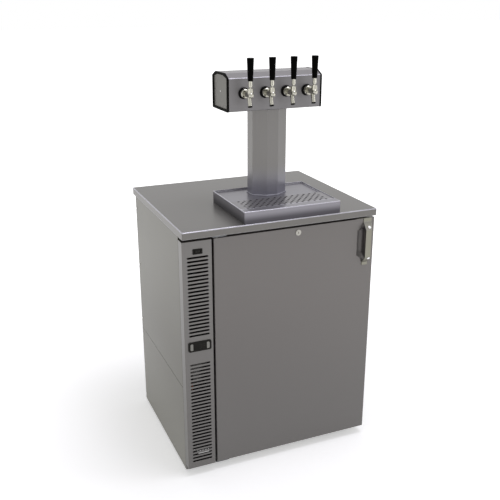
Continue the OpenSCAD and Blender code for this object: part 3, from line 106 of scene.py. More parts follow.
class Graph:
    """The node tree of one material or of the world."""

    def __init__(self, owner: bpy.types.Material | bpy.types.World) -> None:
        """Empties the owner's node tree.

        Args:
            owner: The material or world whose tree is built.
        """
        owner.use_nodes = True
        self.tree = owner.node_tree
        self.tree.nodes.clear()

    def node(self, kind: str, settings: dict[str, object] | None = None,
             inputs: dict[str | int, object] | None = None) -> bpy.types.Node:
        """Adds one node.

        Args:
            kind: The node's type.
            settings: The node's own settings, which are set first.
            inputs: Values, signals or sockets for its inputs.

        Returns:
            The new node.
        """
        made = self.tree.nodes.new(kind)
        for name, value in (settings or {}).items():
            setattr(made, name, value)
        for name, value in (inputs or {}).items():
            if isinstance(value, Signal):
                value = value.socket
            if isinstance(value, bpy.types.NodeSocket):
                self.tree.links.new(value, made.inputs[name])
            elif isinstance(value, tuple) and made.inputs[name].type == "RGBA":
                made.inputs[name].default_value = (*value, 1.0)
            else:
                made.inputs[name].default_value = value
        return made

    def signal(self, made: bpy.types.Node, output: str | int = 0) -> Signal:
        """Gives an output of a node as a signal."""
        return Signal(self, made.outputs[output])

    def maths(self, operation: str, first: Signal | float, second: Signal | float = 0.0) -> Signal:
        """Adds a Math node for an operation on one or two numbers."""
        made = self.node("ShaderNodeMath", {"operation": operation}, {0: first, 1: second})
        return self.signal(made)

    def mix(self, share: Signal | float, low: Signal | Colour, high: Signal | Colour) -> Signal:
        """Blends two colours.

        Args:
            share: 0 for the first colour and 1 for the second.
            low: The first colour.
            high: The second colour.

        Returns:
            The blended colour.
        """
        made = self.node("ShaderNodeMix", {"data_type": "RGBA"}, {0: share, 6: low, 7: high})
        return self.signal(made, 2)

    def place(self, stretch: tuple[float, float, float] = (1, 1, 1)) -> Signal:
        """Gives the point on the object, stretched along its axes."""
        point = self.node("ShaderNodeTexCoord").outputs["Object"]
        made = self.node("ShaderNodeMapping", {"vector_type": "POINT"},
                         {"Vector": point, "Scale": stretch})
        return self.signal(made)

    def noise(self, place: Signal, scale: float, detail: float = 2.0) -> Signal:
        """Gives a soft noise from 0 to 1."""
        made = self.node("ShaderNodeTexNoise", None,
                         {"Vector": place, "Scale": scale, "Detail": detail})
        return self.signal(made)

    def cells(self, place: Signal, scale: float) -> Signal:
        """Gives the distance to the nearest of scattered points, as in foam or a cast grain."""
        made = self.node("ShaderNodeTexVoronoi", None, {"Vector": place, "Scale": scale})
        return self.signal(made, "Distance")

    def fade(self, value: Signal, start: float, end: float) -> Signal:
        """Gives a soft rise from 0 to 1 as a value goes from start to end."""
        made = self.node("ShaderNodeMapRange", {"interpolation_type": "SMOOTHSTEP"},
                         {0: value, 1: start, 2: end, 3: 0.0, 4: 1.0})
        return self.signal(made)

    def axis(self, place: Signal, name: str) -> Signal:
        """Gives one coordinate of a point."""
        return self.signal(self.node("ShaderNodeSeparateXYZ", None, {0: place}), name)

    def bump(self, height: Signal, strength: float, distance: float,
             under: Signal | None = None) -> Signal:
        """Turns a height into a normal.

        Args:
            height: The height.
            strength: Share of the height that shows.
            distance: How high a height of 1 is.
            under: The normal that the height stands on, or None for the surface's own.

        Returns:
            The normal.
        """
        inputs = {"Strength": strength, "Distance": distance, "Height": height}
        if under:
            inputs["Normal"] = under
        return self.signal(self.node("ShaderNodeBump", None, inputs))

    def folded(self, radius: float) -> Signal:
        """Gives a normal in which sharp folds are rounded to a radius."""
        return self.signal(self.node("ShaderNodeBevel", {"samples": 6}, {"Radius": radius}))

    def facing_up(self, normal: Signal, slope: float) -> Signal:
        """Finds the folds that face upwards.

        Args:
            normal: The rounded normal.
            slope: How far the sheet's flat upper faces point up, from 0 to 1.

        Returns:
            A share that is 1 on those folds and 0 on flat faces, which masks the painted
            highlight.
        """
        tilt = self.axis(normal, "Z")
        past = self.fade(tilt, slope - PAINTED_HIGHLIGHT_STOP[0], slope - PAINTED_HIGHLIGHT_STOP[1])
        return self.fade(tilt, *PAINTED_HIGHLIGHT_START) * (1.0 - past)

    def surface(self, inputs: dict[str | int, object]) -> None:
        """Ends the tree in a Principled shader with the given inputs."""
        shader = self.node("ShaderNodeBsdfPrincipled", None, inputs)
        self.node("ShaderNodeOutputMaterial", None, {"Surface": shader.outputs[0]})


# ---- Finishes ----


class Grain(Enum):
    """Which way the brushed lines of a steel sheet run: slow along that axis, fast across it."""

    ACROSS = (3.0, 700.0, 700.0)
    ALONG = (700.0, 3.0, 700.0)
    UPRIGHT = (700.0, 700.0, 3.0)


@dataclass(frozen=True)
class Finish:
    """What every finish has.

    Args:
        name: Name of its material.
        colour: Its main colour.
    """

    name: str
    colour: Colour

    def graph(self) -> tuple[bpy.types.Material, Graph]:
        """Starts an empty material."""
        material = bpy.data.materials.new(self.name)
        return material, Graph(material)


@dataclass(frozen=True)
class BrushedSteel(Finish):
    """Stainless sheet with fine brushed lines and soft uneven shine, with painted light: a second
    tone at one end and a highlight on folds that face upwards.

    Args:
        grain: Which way the lines run.
        metallic: Share of mirror-like reflection.
        roughness: Mean roughness.
        specular: Strength of the reflection that isn't mirror-like.
        streak: How much the lines change the tone.
        cloud: How much wide soft patches change the tone.
        bend: Radius of the sheet's folds.
        painted_highlight: How much of a painted highlight the folds that face upwards get.
        slope: How far the sheet's flat upper faces point up, from 0 to 1.
        painted_light_tone: Second colour, which the sheet has before the start of its fade; it
            paints light and shade that fall on that end.
        fade: Where the second colour is full and where it is gone, or None.
        fade_axis: The axis that the fade runs along.
    """

    grain: Grain = Grain.ACROSS
    metallic: float = 0.55
    roughness: float = 0.32
    specular: float = 0.1
    streak: float = 0.25
    cloud: float = 0.3
    bend: float = 0.0022
    painted_highlight: float = 0.0
    slope: float = 1.0
    painted_light_tone: Colour = (0.14, 0.14, 0.15)
    fade: tuple[float, float] | None = None
    fade_axis: str = "Z"

    def build(self) -> bpy.types.Material:
        """Makes the material."""
        material, graph = self.graph()
        lines = graph.noise(graph.place(self.grain.value), 1.0, 3.0)
        patches = graph.noise(graph.place(), 2.6, 2.0)
        light = 0.5 + (lines - 0.5) * self.streak + (patches - 0.5) * self.cloud
        colour = graph.mix(light, scaled(self.colour, 0.9), scaled(self.colour, 1.1))
        # Painted light and shade: towards one end along an axis the sheet takes a second colour
        if self.fade:
            low, high = self.fade
            along = graph.axis(graph.place(), self.fade_axis)
            colour = graph.mix(graph.fade(along, low, high), self.painted_light_tone, colour)
        normal = graph.folded(self.bend)
        # Painted highlight: a pale colour is mixed into the folds that face upwards, standing for
        # lamp light on them
        if self.painted_highlight:
            share = graph.facing_up(normal, self.slope) * self.painted_highlight
            colour = graph.mix(share, colour, FOLD_PAINTED_HIGHLIGHT)
        graph.surface({
            "Base Color": colour,
            "Metallic": self.metallic,
            "Roughness": self.roughness + (lines - 0.5) * 0.05 + (patches - 0.5) * 0.05,
            "Specular IOR Level": self.specular,
            "Normal": graph.bump(lines, 0.02, 0.0002, normal),
        })
        return material


@dataclass(frozen=True)
class Chrome(Finish):
    """Polished plating with faint swirls.

    Args:
        roughness: Mean roughness.
    """

    roughness: float = 0.12

    def build(self) -> bpy.types.Material:
        """Makes the material."""
        material, graph = self.graph()
        swirl = graph.noise(graph.place(), 260.0, 3.0)
        cloud = graph.noise(graph.place(), 24.0, 2.0)
        graph.surface({
            "Base Color": graph.mix(cloud, scaled(self.colour, 0.88), scaled(self.colour, 1.12)),
            "Metallic": 1.0,
            "Roughness": self.roughness + swirl * 0.06,
            "Normal": graph.bump(cloud, 0.04, 0.001),
        })
        return material


@dataclass(frozen=True)
class Moulded(Finish):
    """Moulded plastic or rubber with a fine cast grain.

    Args:
        roughness: Mean roughness.
        specular: Strength of its reflection.
        grain: Depth of the cast grain in metres.
        coat: Weight of a clear gloss on top.
    """

    roughness: float = 0.45
    specular: float = 0.25
    grain: float = 0.00008
    coat: float = 0.0

    def build(self) -> bpy.types.Material:
        """Makes the material."""
        material, graph = self.graph()
        pits = graph.cells(graph.place(), 1100.0)
        wear = graph.noise(graph.place(), 38.0, 3.0)
        graph.surface({
            "Base Color": graph.mix(wear, scaled(self.colour, 0.82), scaled(self.colour, 1.18)),
            "Roughness": self.roughness + (wear - 0.5) * 0.16,
            "Specular IOR Level": self.specular,
            "Coat Weight": self.coat,
            "Normal": graph.bump(pits, 0.25, self.grain),
        })
        return material


@dataclass(frozen=True)
class Painted(Finish):
    """Stove enamel or zinc on steel, with a slight orange peel.

    Args:
        roughness: Mean roughness.
        metallic: Share of mirror-like reflection.
        spangle: How much scattered grains change the tone.
    """

    roughness: float = 0.4
    metallic: float = 0.0
    spangle: float = 0.1

    def build(self) -> bpy.types.Material:
        """Makes the material."""
        material, graph = self.graph()
        peel = graph.noise(graph.place(), 420.0, 2.0)
        grains = graph.cells(graph.place(), 90.0)
        dark, light = scaled(self.colour, 1 - self.spangle), scaled(self.colour, 1 + self.spangle)
        graph.surface({
            "Base Color": graph.mix(grains, dark, light),
            "Metallic": self.metallic,
            "Roughness": self.roughness + (peel - 0.5) * 0.15,
            "Normal": graph.bump(peel, 0.12, 0.0003),
        })
        return material


@dataclass(frozen=True)
class FoamedWall(Finish):
    """Cut rigid insulating foam with open cells."""

    def build(self) -> bpy.types.Material:
        """Makes the material."""
        material, graph = self.graph()
        cells = graph.cells(graph.place(), 520.0)
        stain = graph.noise(graph.place(), 9.0, 4.0)
        graph.surface({
            "Base Color": graph.mix(stain, scaled(self.colour, 0.8), scaled(self.colour, 1.1)),
            "Roughness": 0.85 + (cells - 0.5) * 0.2,
            "Normal": graph.bump(cells, 0.6, 0.0006),
        })
        return material


@dataclass(frozen=True)
class DrawnTube(Finish):
    """Drawn copper or aluminium with darker handled patches.

    Args:
        patina: Colour of the handled patches.
        roughness: Mean roughness.
    """

    patina: Colour = (0.2, 0.1, 0.06)
    roughness: float = 0.32

    def build(self) -> bpy.types.Material:
        """Makes the material."""
        material, graph = self.graph()
        patches = graph.fade(graph.noise(graph.place(), 30.0, 4.0), 0.45, 0.7)
        graph.surface({
            "Base Color": graph.mix(patches * 0.5, self.colour, self.patina),
            "Metallic": 0.9,
            "Roughness": self.roughness + patches * 0.15,
            "Normal": graph.bump(patches, 0.05, 0.0002),
        })
        return material


@dataclass(frozen=True)
class MilkyTube(Finish):
    """Half clear hose or nylon, cloudy along its length."""

    def build(self) -> bpy.types.Material:
        """Makes the material."""
        material, graph = self.graph()
        cloud = graph.noise(graph.place(), 45.0, 3.0)
        graph.surface({
            "Base Color": graph.mix(cloud, scaled(self.colour, 0.85), self.colour),
            "Roughness": 0.25 + cloud * 0.15,
            "Transmission Weight": 0.35,
            "Normal": graph.bump(cloud, 0.05, 0.0004),
        })
        return material


# Colour of the painted highlight on the folds that face upwards
FOLD_PAINTED_HIGHLIGHT = tone(212, 211, 220)

# Painted highlight on the worktop's upward folds
TOP_STEEL = BrushedSteel("top_steel_sheet", tone(118, 116, 113), bend=0.0035, painted_highlight=0.9)
# Painted shade and reflection: the tray turns a darker lilac grey towards its lower front and in
# its basin; painted highlight on its upward folds
TRAY_STEEL = BrushedSteel("tray_steel_sheet", tone(140, 138, 144), metallic=0.6, roughness=0.3,
                          bend=0.0035, painted_highlight=1.0, painted_light_tone=tone(78, 76, 81), fade=(0.921, 0.9505))
# Painted highlight: a pale strip along the grid's front lip
GRID_STEEL = BrushedSteel("grid_steel_sheet", tone(132, 130, 133), metallic=0.6, roughness=0.3,
                          bend=0.0005, painted_light_tone=tone(196, 195, 204), fade=(-0.2538, -0.2522),
                          fade_axis="Y")
# Painted light and shade: the side panels are darker high up and lighter towards the floor,
# against the left lamp's light
SIDE_STEEL = BrushedSteel("side_steel_sheet", tone(107, 105, 97), grain=Grain.ALONG,
                          metallic=0.45, painted_light_tone=tone(134, 132, 124), fade=(0.03, 0.5))
# Painted light: the door turns a little lighter towards the floor
DOOR_STEEL = BrushedSteel("door_steel_sheet", tone(117, 114, 112), painted_light_tone=tone(121, 119, 117),
                          fade=(0.03, 0.7))
LOUVRE_STEEL = BrushedSteel("louvre_steel_sheet", tone(121, 119, 117), grain=Grain.UPRIGHT,
                            bend=0.0004)
# Painted reflection: the column turns a lighter lilac grey near its foot; painted highlight on its
# upward folds
COLUMN_STEEL = BrushedSteel("column_steel_sheet", tone(137, 135, 133), grain=Grain.UPRIGHT,
                            metallic=0.4, roughness=0.26, painted_highlight=0.5,
                            painted_light_tone=tone(146, 145, 156), fade=(0.955, 1.07))
# Painted highlight on the tap head's upward folds
HEAD_STEEL = BrushedSteel("head_steel_sheet", tone(137, 135, 136), metallic=0.4, roughness=0.38,
                          bend=0.003, painted_highlight=0.95, slope=0.9)
END_STEEL = BrushedSteel("end_steel_sheet", tone(117, 115, 110), metallic=0.4, roughness=0.38)
# Painted highlight on the pull's upward folds
PULL_STEEL = BrushedSteel("pull_steel_strip", tone(140, 138, 126), grain=Grain.UPRIGHT,
                          metallic=0.6, painted_highlight=0.35, slope=0.7)
ZINC_SHEET = Painted("zinc_sheet", tone(120, 122, 124), roughness=0.42, metallic=0.7, spangle=0.18)
BLACK_ENAMEL = Painted("black_enamel", tone(26, 26, 28), roughness=0.35, spangle=0.08)
CHROME_PLATE = Chrome("chrome_plate", tone(168, 166, 156), roughness=0.09)
LOCK_CHROME = Chrome("lock_chrome", tone(150, 148, 142), roughness=0.2)
SCREW_STEEL = Chrome("screw_steel", tone(205, 204, 200), roughness=0.22)
BRIGHT_SCREW = Chrome("bright_screw", tone(246, 246, 246), roughness=0.3)
BLACK_CASE = Moulded("black_case", tone(34, 33, 30), specular=0.1)
BLACK_RUBBER = Moulded("black_rubber_edge", tone(8, 8, 6), roughness=0.6, specular=0.03)
BLACK_FLANGE = Moulded("black_flange", tone(12, 12, 11), roughness=0.4, specular=0.06)
GLOSS_HANDLE = Moulded("gloss_handle", tone(6, 6, 5), roughness=0.3, specular=0.015, grain=0.00001)
GREY_KEY = Moulded("grey_key", tone(154, 153, 147), roughness=0.5)
WHITE_PLASTIC = Moulded("white_nylon", tone(214, 213, 206), roughness=0.4)
WHITE_LINER = Moulded("white_liner_sheet", tone(222, 222, 217), roughness=0.36, grain=0.00003)
DARK_LENS = Moulded("dark_lens", tone(31, 30, 26), roughness=0.2, specular=0.08, grain=0.000005,
                    coat=0.03)
DIM_DIGIT = Moulded("dim_digit", tone(72, 71, 67), roughness=0.5, specular=0.1)
PRINT_GREY = Moulded("print_grey", tone(76, 76, 70), roughness=0.6, specular=0.1)
DARK_FIN = Painted("dark_fin_enamel", tone(30, 30, 32), roughness=0.5, spangle=0.2)
FOAM = FoamedWall("yellow_foam", tone(226, 206, 152))
COPPER = DrawnTube("copper_tube", tone(184, 115, 80), patina=tone(110, 66, 50))
FIN_METAL = DrawnTube("fin_aluminium", tone(178, 180, 182), patina=tone(120, 122, 125),
                      roughness=0.4)
HOSE = MilkyTube("milky_hose", tone(222, 222, 214))

NODE_FINISHES: dict[Finish, tuple[str, ...]] = {
    TOP_STEEL: ("countertop",),
    TRAY_STEEL: ("drip_tray", "drain_tube"),
    GRID_STEEL: ("drip_grid",),
    SIDE_STEEL: ("left_upper_panel", "left_lower_panel", "cabinet_wrapper"),
    DOOR_STEEL: ("door_skin", "front_frame", "rear_panel"),
    LOUVRE_STEEL: ("grille_panel",),
    COLUMN_STEEL: ("tower_column",),
    HEAD_STEEL: ("tower_head",),
    END_STEEL: ("end_plates",),
    PULL_STEEL: ("pull_strip",),
    ZINC_SHEET: ("base_pan", "upper_hinge", "lower_hinge", "condenser_motor", "electrical_box"),
    BLACK_ENAMEL: ("compressor", "levelling_feet"),
    CHROME_PLATE: ("shanks", "coupling_nuts", "faucet_bodies",
                   *(f"tap_lever_{i}" for i in range(1, 5))),
    LOCK_CHROME: ("lock_sleeve", "lock_plug"),
    BLACK_CASE: ("switch_bezel", "switch_rocker", "controller_case", "condenser_fan",
                 "evaporator_fan"),
    BLACK_RUBBER: ("door_gasket", "end_trims"),
    BLACK_FLANGE: ("shank_flanges",),
    GLOSS_HANDLE: tuple(f"tap_handle_{i}" for i in range(1, 5)),
    GREY_KEY: ("left_key", "right_key"),
    WHITE_PLASTIC: ("hinge_bushes", *(f"tap_valve_{i}" for i in range(1, 5))),
    WHITE_LINER: ("cabinet_liner", "door_liner", "evaporator_cover"),
    FOAM: ("cabinet_foam", "door_foam", "tower_foam"),
    COPPER: ("refrigerant_lines",),
    FIN_METAL: ("evaporator_coil",),
    DARK_FIN: ("condenser_coil",),
    HOSE: ("beer_lines",),
}

_built: dict[Finish, bpy.types.Material] = {}


def material_of(finish: Finish) -> bpy.types.Material:
    """Gives a finish's material, built once."""
    if finish not in _built:
        _built[finish] = finish.build()
    return _built[finish]


def dress(piece: bpy.types.Object, finish: Finish) -> None:
    """Gives a piece one finish all over."""
    if piece.data.materials:
        for index in range(len(piece.data.materials)):
            piece.data.materials[index] = material_of(finish)
    else:
        piece.data.materials.append(material_of(finish))


# ---- Modelling moves ----


def pick(*pieces: bpy.types.Object) -> None:
    """Selects only these objects, the first as the active one."""
    bpy.ops.object.select_all(action="DESELECT")
    for piece in pieces:
        piece.select_set(True)
    bpy.context.view_layer.objects.active = pieces[0]


def named(name: str) -> bpy.types.Object:
    """Names the primitive that was just added."""
    piece = bpy.context.view_layer.objects.active
    piece.name = piece.data.name = name
    return piece


@contextmanager
def editing(piece: bpy.types.Object, select: str = "FACE") -> Iterator[None]:
    """Opens a piece in edit mode with nothing selected, and leaves it again."""
    pick(piece)
    bpy.ops.object.mode_set(mode="EDIT")
    bpy.ops.mesh.select_mode(type=select)
    bpy.ops.mesh.select_all(action="DESELECT")
    yield
    bpy.ops.object.mode_set(mode="OBJECT")


def choose_faces(piece: bpy.types.Object, wanted: Callable[[Vector, Vector], bool]) -> None:
    """Selects only the faces that pass a test.

    Args:
        piece: The piece in edit mode.
        wanted: Says yes or no from a face's middle and normal.
    """
    shape = bmesh.from_edit_mesh(piece.data)
    for face in shape.faces:
        face.select_set(wanted(face.calc_center_median(), face.normal))
    shape.select_flush_mode()
    bmesh.update_edit_mesh(piece.data)


def settle(piece: bpy.types.Object) -> bpy.types.Object:
    """Puts a piece's place into its mesh and leaves its object at the origin."""
    pick(piece)
    bpy.ops.object.transform_apply(location=True, rotation=True, scale=True)
    return piece


def rounded(piece: bpy.types.Object, width: float, steps: int = 2) -> bpy.types.Object:
    """Rounds a piece's sharp edges and smooths its shading.

    Args:
        piece: The piece.
        width: Width of the rounding.
        steps: Faces across the rounding.

    Returns:
        The piece.
    """
    pick(piece)
    soft = piece.modifiers.new("edges", "BEVEL")
    soft.width, soft.segments, soft.limit_method = width, steps, "ANGLE"
    bpy.ops.object.modifier_apply(modifier=soft.name)
    bpy.ops.object.shade_smooth_by_angle(angle=math.radians(40))
    return piece


def cut(piece: bpy.types.Object, cutter: bpy.types.Object) -> None:
    """Takes a cutter out of a piece and removes the cutter."""
    pick(piece)
    cutting = piece.modifiers.new("cut", "BOOLEAN")
    cutting.operation, cutting.object, cutting.solver = "DIFFERENCE", cutter, "EXACT"
    bpy.ops.object.modifier_apply(modifier=cutting.name)
    bpy.data.objects.remove(cutter)


def joined(name: str, pieces: Sequence[bpy.types.Object]) -> bpy.types.Object:
    """Joins pieces into one object with its own mesh."""
    pick(*pieces)
    if len(pieces) > 1:
        bpy.ops.object.join()
    return named(name)


def copied(master: bpy.types.Object, matrix: Matrix) -> bpy.types.Object:
    """Copies a master with its own mesh and settles the copy at a place."""
    twin = master.copy()
    twin.data = master.data.copy()
    bpy.context.scene.collection.objects.link(twin)
    twin.matrix_world = matrix
    return settle(twin)


def standing_on(point: Vector, normal: Vector, turn: float = 0.0) -> Matrix:
    """Gives the place of a master that stands on a surface with its +Z along the normal."""
    upright = normal.to_track_quat("Z", "Y").to_matrix().to_4x4()
    return Matrix.Translation(point) @ upright @ Matrix.Rotation(turn, 4, "Z")


def touch(node: str, start: Sequence[float], way: Sequence[float]) -> tuple[Vector, Vector]:
    """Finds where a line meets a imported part.

    Args:
        node: The part's name.
        start: Start of the line.
        way: Its direction.

    Returns:
        The point that it meets and the surface's normal there.
    """
    hit, point, normal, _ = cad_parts[node].ray_cast(Vector(start), Vector(way).normalized())
    if not hit:
        raise ValueError(f"the line from {tuple(start)} misses {node}")
    return point, normal


def carry(piece: bpy.types.Object, body: str, finish: Finish) -> bpy.types.Object:
    """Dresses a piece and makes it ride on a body."""
    dress(piece, finish)
    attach(piece, body)
    log.info("%s rides on %s, %d faces", piece.name, body, len(piece.data.polygons))
    return piece


# ---- Sub-assemblies ----


@dataclass
class ScrewSet:
    """Pan head screws with a cross recess, modelled once and set on the parts' faces.

    Args:
        head_r: Radius of a head.
        head_h: Height of a head's side.
        recess: Width of the cross recess.
    """

    head_r: float = 0.0046
    head_h: float = 0.0022
    recess: float = 0.0012

    def master(self) -> bpy.types.Object:
        """Models one screw head standing on the origin."""
        bpy.ops.object.select_all(action="DESELECT")
        sunk = self.head_h * 0.2
        bpy.ops.mesh.primitive_cylinder_add(vertices=24, radius=self.head_r, depth=self.head_h,
                                            location=(0, 0, self.head_h / 2 - sunk))
        head = settle(named("screw_master"))
        with editing(head):
            choose_faces(head, lambda middle, normal: normal.z > 0.9)
            for inset, rise in ((0.22, 0.16), (0.26, 0.1)):
                bpy.ops.mesh.inset(thickness=self.head_r * inset)
                bpy.ops.transform.translate(value=(0, 0, self.head_h * rise))
        rounded(head, self.head_r * 0.1, 2)
        long, short = self.head_r * 1.15, self.recess
        for across, along in ((long, short), (short, long)):
            bpy.ops.object.select_all(action="DESELECT")
            bpy.ops.mesh.primitive_cube_add(size=1, location=(0, 0, self.head_h * 1.15))
            blade = named("recess_cutter")
            blade.scale = (across, along, self.head_h * 1.2)
            cut(head, settle(blade))
        return head

    def build(self, name: str, body: str, slot: str, places: Sequence[Matrix],
              size: float = 1.0, finish: Finish = SCREW_STEEL) -> bpy.types.Object:
        """Sets a copy of the screw at each place and joins them.

        Args:
            name: Name of the joined piece.
            body: The body that it rides on.
            slot: The record's material slot; not used.
            places: Where the screws stand.
            size: Their size as a share of the master's.
            finish: Their finish.

        Returns:
            The joined screws.
        """
        head = self.master()
        heads = [copied(head, place @ Matrix.Scale(size, 4)) for place in places]
        bpy.data.objects.remove(head)
        return carry(joined(name, heads), body, finish)


@dataclass
class Fasteners:
    """All the cabinet's and the door's screws.

    Args:
        screws: The screw that is copied.
        edge_in: Distance of a panel's screws from its edge.
        pull_x: Where the pull's screws stand along X.
        pull_drop: Distance of the pull's upper screw from its top.
        pull_rise: Distance of its lower screw from its foot.
        cover_in: Distance of the evaporator cover's screws from its edges.
        inlet_out: Distance of the inlet's screws from its middle.
    """

    screws: ScrewSet = field(default_factory=ScrewSet)
    edge_in: float = 0.012
    pull_x: float = 0.3262
    pull_drop: float = 0.0309
    pull_rise: float = 0.0294
    cover_in: float = 0.016
    inlet_out: float = 0.036

    def build(self) -> None:
        """Builds each group of screws."""
        self.pull()
        self.rear_panel()
        self.side_panels()
        self.hinges()
        self.evaporator()
        self.inlet()
        self.end_plates()

    def pull(self) -> None:
        """Sets the screw on the pull's upper slope and its twin on the lower slope."""
        low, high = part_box("pull_strip")
        places = [standing_on(*touch("pull_strip", (self.pull_x, low.y - REACH, z), (0, 1, 0)))
                  for z in (high.z - self.pull_drop, low.z + self.pull_rise)]
        self.screws.build("pull_screws", "door", "body_steel", places, 1.15, BRIGHT_SCREW)

    def rear_panel(self) -> None:
        """Sets the screws round the rear panel."""
        low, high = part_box("rear_panel")
        rows, columns = 5, 4
        spots = [(x, low.z + self.edge_in + row * (high.z - low.z - 2 * self.edge_in) / (rows - 1))
                 for x in (low.x + self.edge_in, high.x - self.edge_in) for row in range(rows)]
        step = (high.x - low.x - 2 * self.edge_in) / (columns - 1)
        spots += [(low.x + self.edge_in + column * step, z)
                  for z in (low.z + self.edge_in, high.z - self.edge_in)
                  for column in range(1, columns - 1)]
        places = [standing_on(*touch("rear_panel", (x, high.y + REACH, z), (0, -1, 0)), turn=row)
                  for row, (x, z) in enumerate(spots)]
        self.screws.build("rear_panel_screws", "cabinet", "body_steel", places)

    def side_panels(self) -> None:
        """Sets the screws at the rear edge of the two left side panels."""
        places = []
        for node in ("left_upper_panel", "left_lower_panel"):
            low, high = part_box(node)
            for share in (0.08, 0.5, 0.92):
                z = low.z + share * (high.z - low.z)
                spot = (low.x - REACH, high.y - self.edge_in, z)
                places.append(standing_on(*touch(node, spot, (1, 0, 0)), turn=share * 9))
        self.screws.build("side_panel_screws", "cabinet", "body_steel", places, 0.9)

    def hinges(self) -> None:
        """Sets two screws on each hinge bracket's flange."""
        places = []
        for node, rise in (("upper_hinge", 0.0065), ("lower_hinge", 0.006)):
            low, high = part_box(node)
            for share in (0.3, 0.75):
                spot = (low.x + share * (high.x - low.x), low.y - REACH, low.z + rise)
                places.append(standing_on(*touch(node, spot, (0, 1, 0)), turn=share * 5))
        self.screws.build("hinge_screws", "cabinet", "dark_metal", places, 0.9)

    def evaporator(self) -> None:
        """Sets the four screws under the evaporator cover."""
        low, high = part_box("evaporator_cover")
        places = [standing_on(*touch("evaporator_cover", (x, y, low.z - REACH), (0, 0, 1)),
                              turn=x * 20)
                  for x in (low.x + self.cover_in, high.x - self.cover_in)
                  for y in (low.y + self.cover_in, high.y - self.cover_in)]
        self.screws.build("evaporator_screws", "cabinet", "chrome_fittings", places, 0.85)

    def inlet(self) -> None:
        """Sets the two screws beside the power inlet."""
        low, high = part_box("electrical_box")
        x, z = (low.x + high.x) / 2, (low.z + high.z) / 2
        spots = [(x + side * self.inlet_out, high.y + REACH, z) for side in (-1, 1)]
        places = [standing_on(*touch("rear_panel", spot, (0, -1, 0))) for spot in spots]
        self.screws.build("inlet_screws", "cabinet", "dark_metal", places, 0.8)

    def end_plates(self) -> None:
        """Sets the small screw in the middle of each of the tap head's end plates."""
        low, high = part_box("end_plates")
        y, z = (low.y + high.y) / 2, (low.z + high.z) / 2
        places = [standing_on(*touch("end_plates", (x, y, z), (way, 0, 0)))
                  for x, way in ((low.x - REACH, 1), (high.x + REACH, -1))]
        self.screws.build("end_plate_screws", "cabinet", "body_steel", places, 0.6)


@dataclass
class DarkSpoutRings:
    """Black rings on the ends of the faucets' spouts, which make the spout ends dark.

    Args:
        spout_r: Radius of a spout.
        drop: Drop of a spout's end below the shank's axis.
        lean: How far a spout comes forward over its drop.
        end_back: How far a spout's end lies behind the lever's axis.
        wall: How far a ring stands proud of its spout.
        height: Height of a ring.
    """

    spout_r: float = 0.0065
    drop: float = 0.038
    lean: float = 0.01105
    end_back: float = 0.0013
    wall: float = 0.0009
    height: float = 0.0046

    def master(self) -> bpy.types.Object:
        """Models one ring, standing on the origin, from a disc opened through its middle."""
        bpy.ops.object.select_all(action="DESELECT")
        bpy.ops.mesh.primitive_cylinder_add(vertices=32, radius=self.spout_r + self.wall,
                                            depth=self.height, location=(0, 0, self.height / 2))
        ring = settle(named("dark_ring_master"))
        with editing(ring):
            choose_faces(ring, lambda middle, normal: abs(normal.z) > 0.9)
            bpy.ops.mesh.inset(thickness=self.wall + self.spout_r * 0.3)
            bpy.ops.mesh.bridge_edge_loops()
        return rounded(ring, self.wall * 0.6)

    def build(self) -> None:
        """Sets a ring on the end of each spout."""
        ring = self.master()
        flange_low, flange_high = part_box("shank_flanges")
        along = Vector((0, -self.lean, -self.drop)).normalized()
        turn = along.to_track_quat("Z", "Y").to_matrix().to_4x4()
        rings = []
        for tap in range(1, 5):
            low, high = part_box(f"tap_handle_{tap}")
            end = Vector(((low.x + high.x) / 2, (low.y + high.y) / 2 + self.end_back,
                          (flange_low.z + flange_high.z) / 2 - self.drop))
            rings.append(copied(ring, Matrix.Translation(end - along * self.height * 0.8) @ turn))
        bpy.data.objects.remove(ring)
        carry(joined("dark_spout_rings", rings), "cabinet", BLACK_FLANGE)


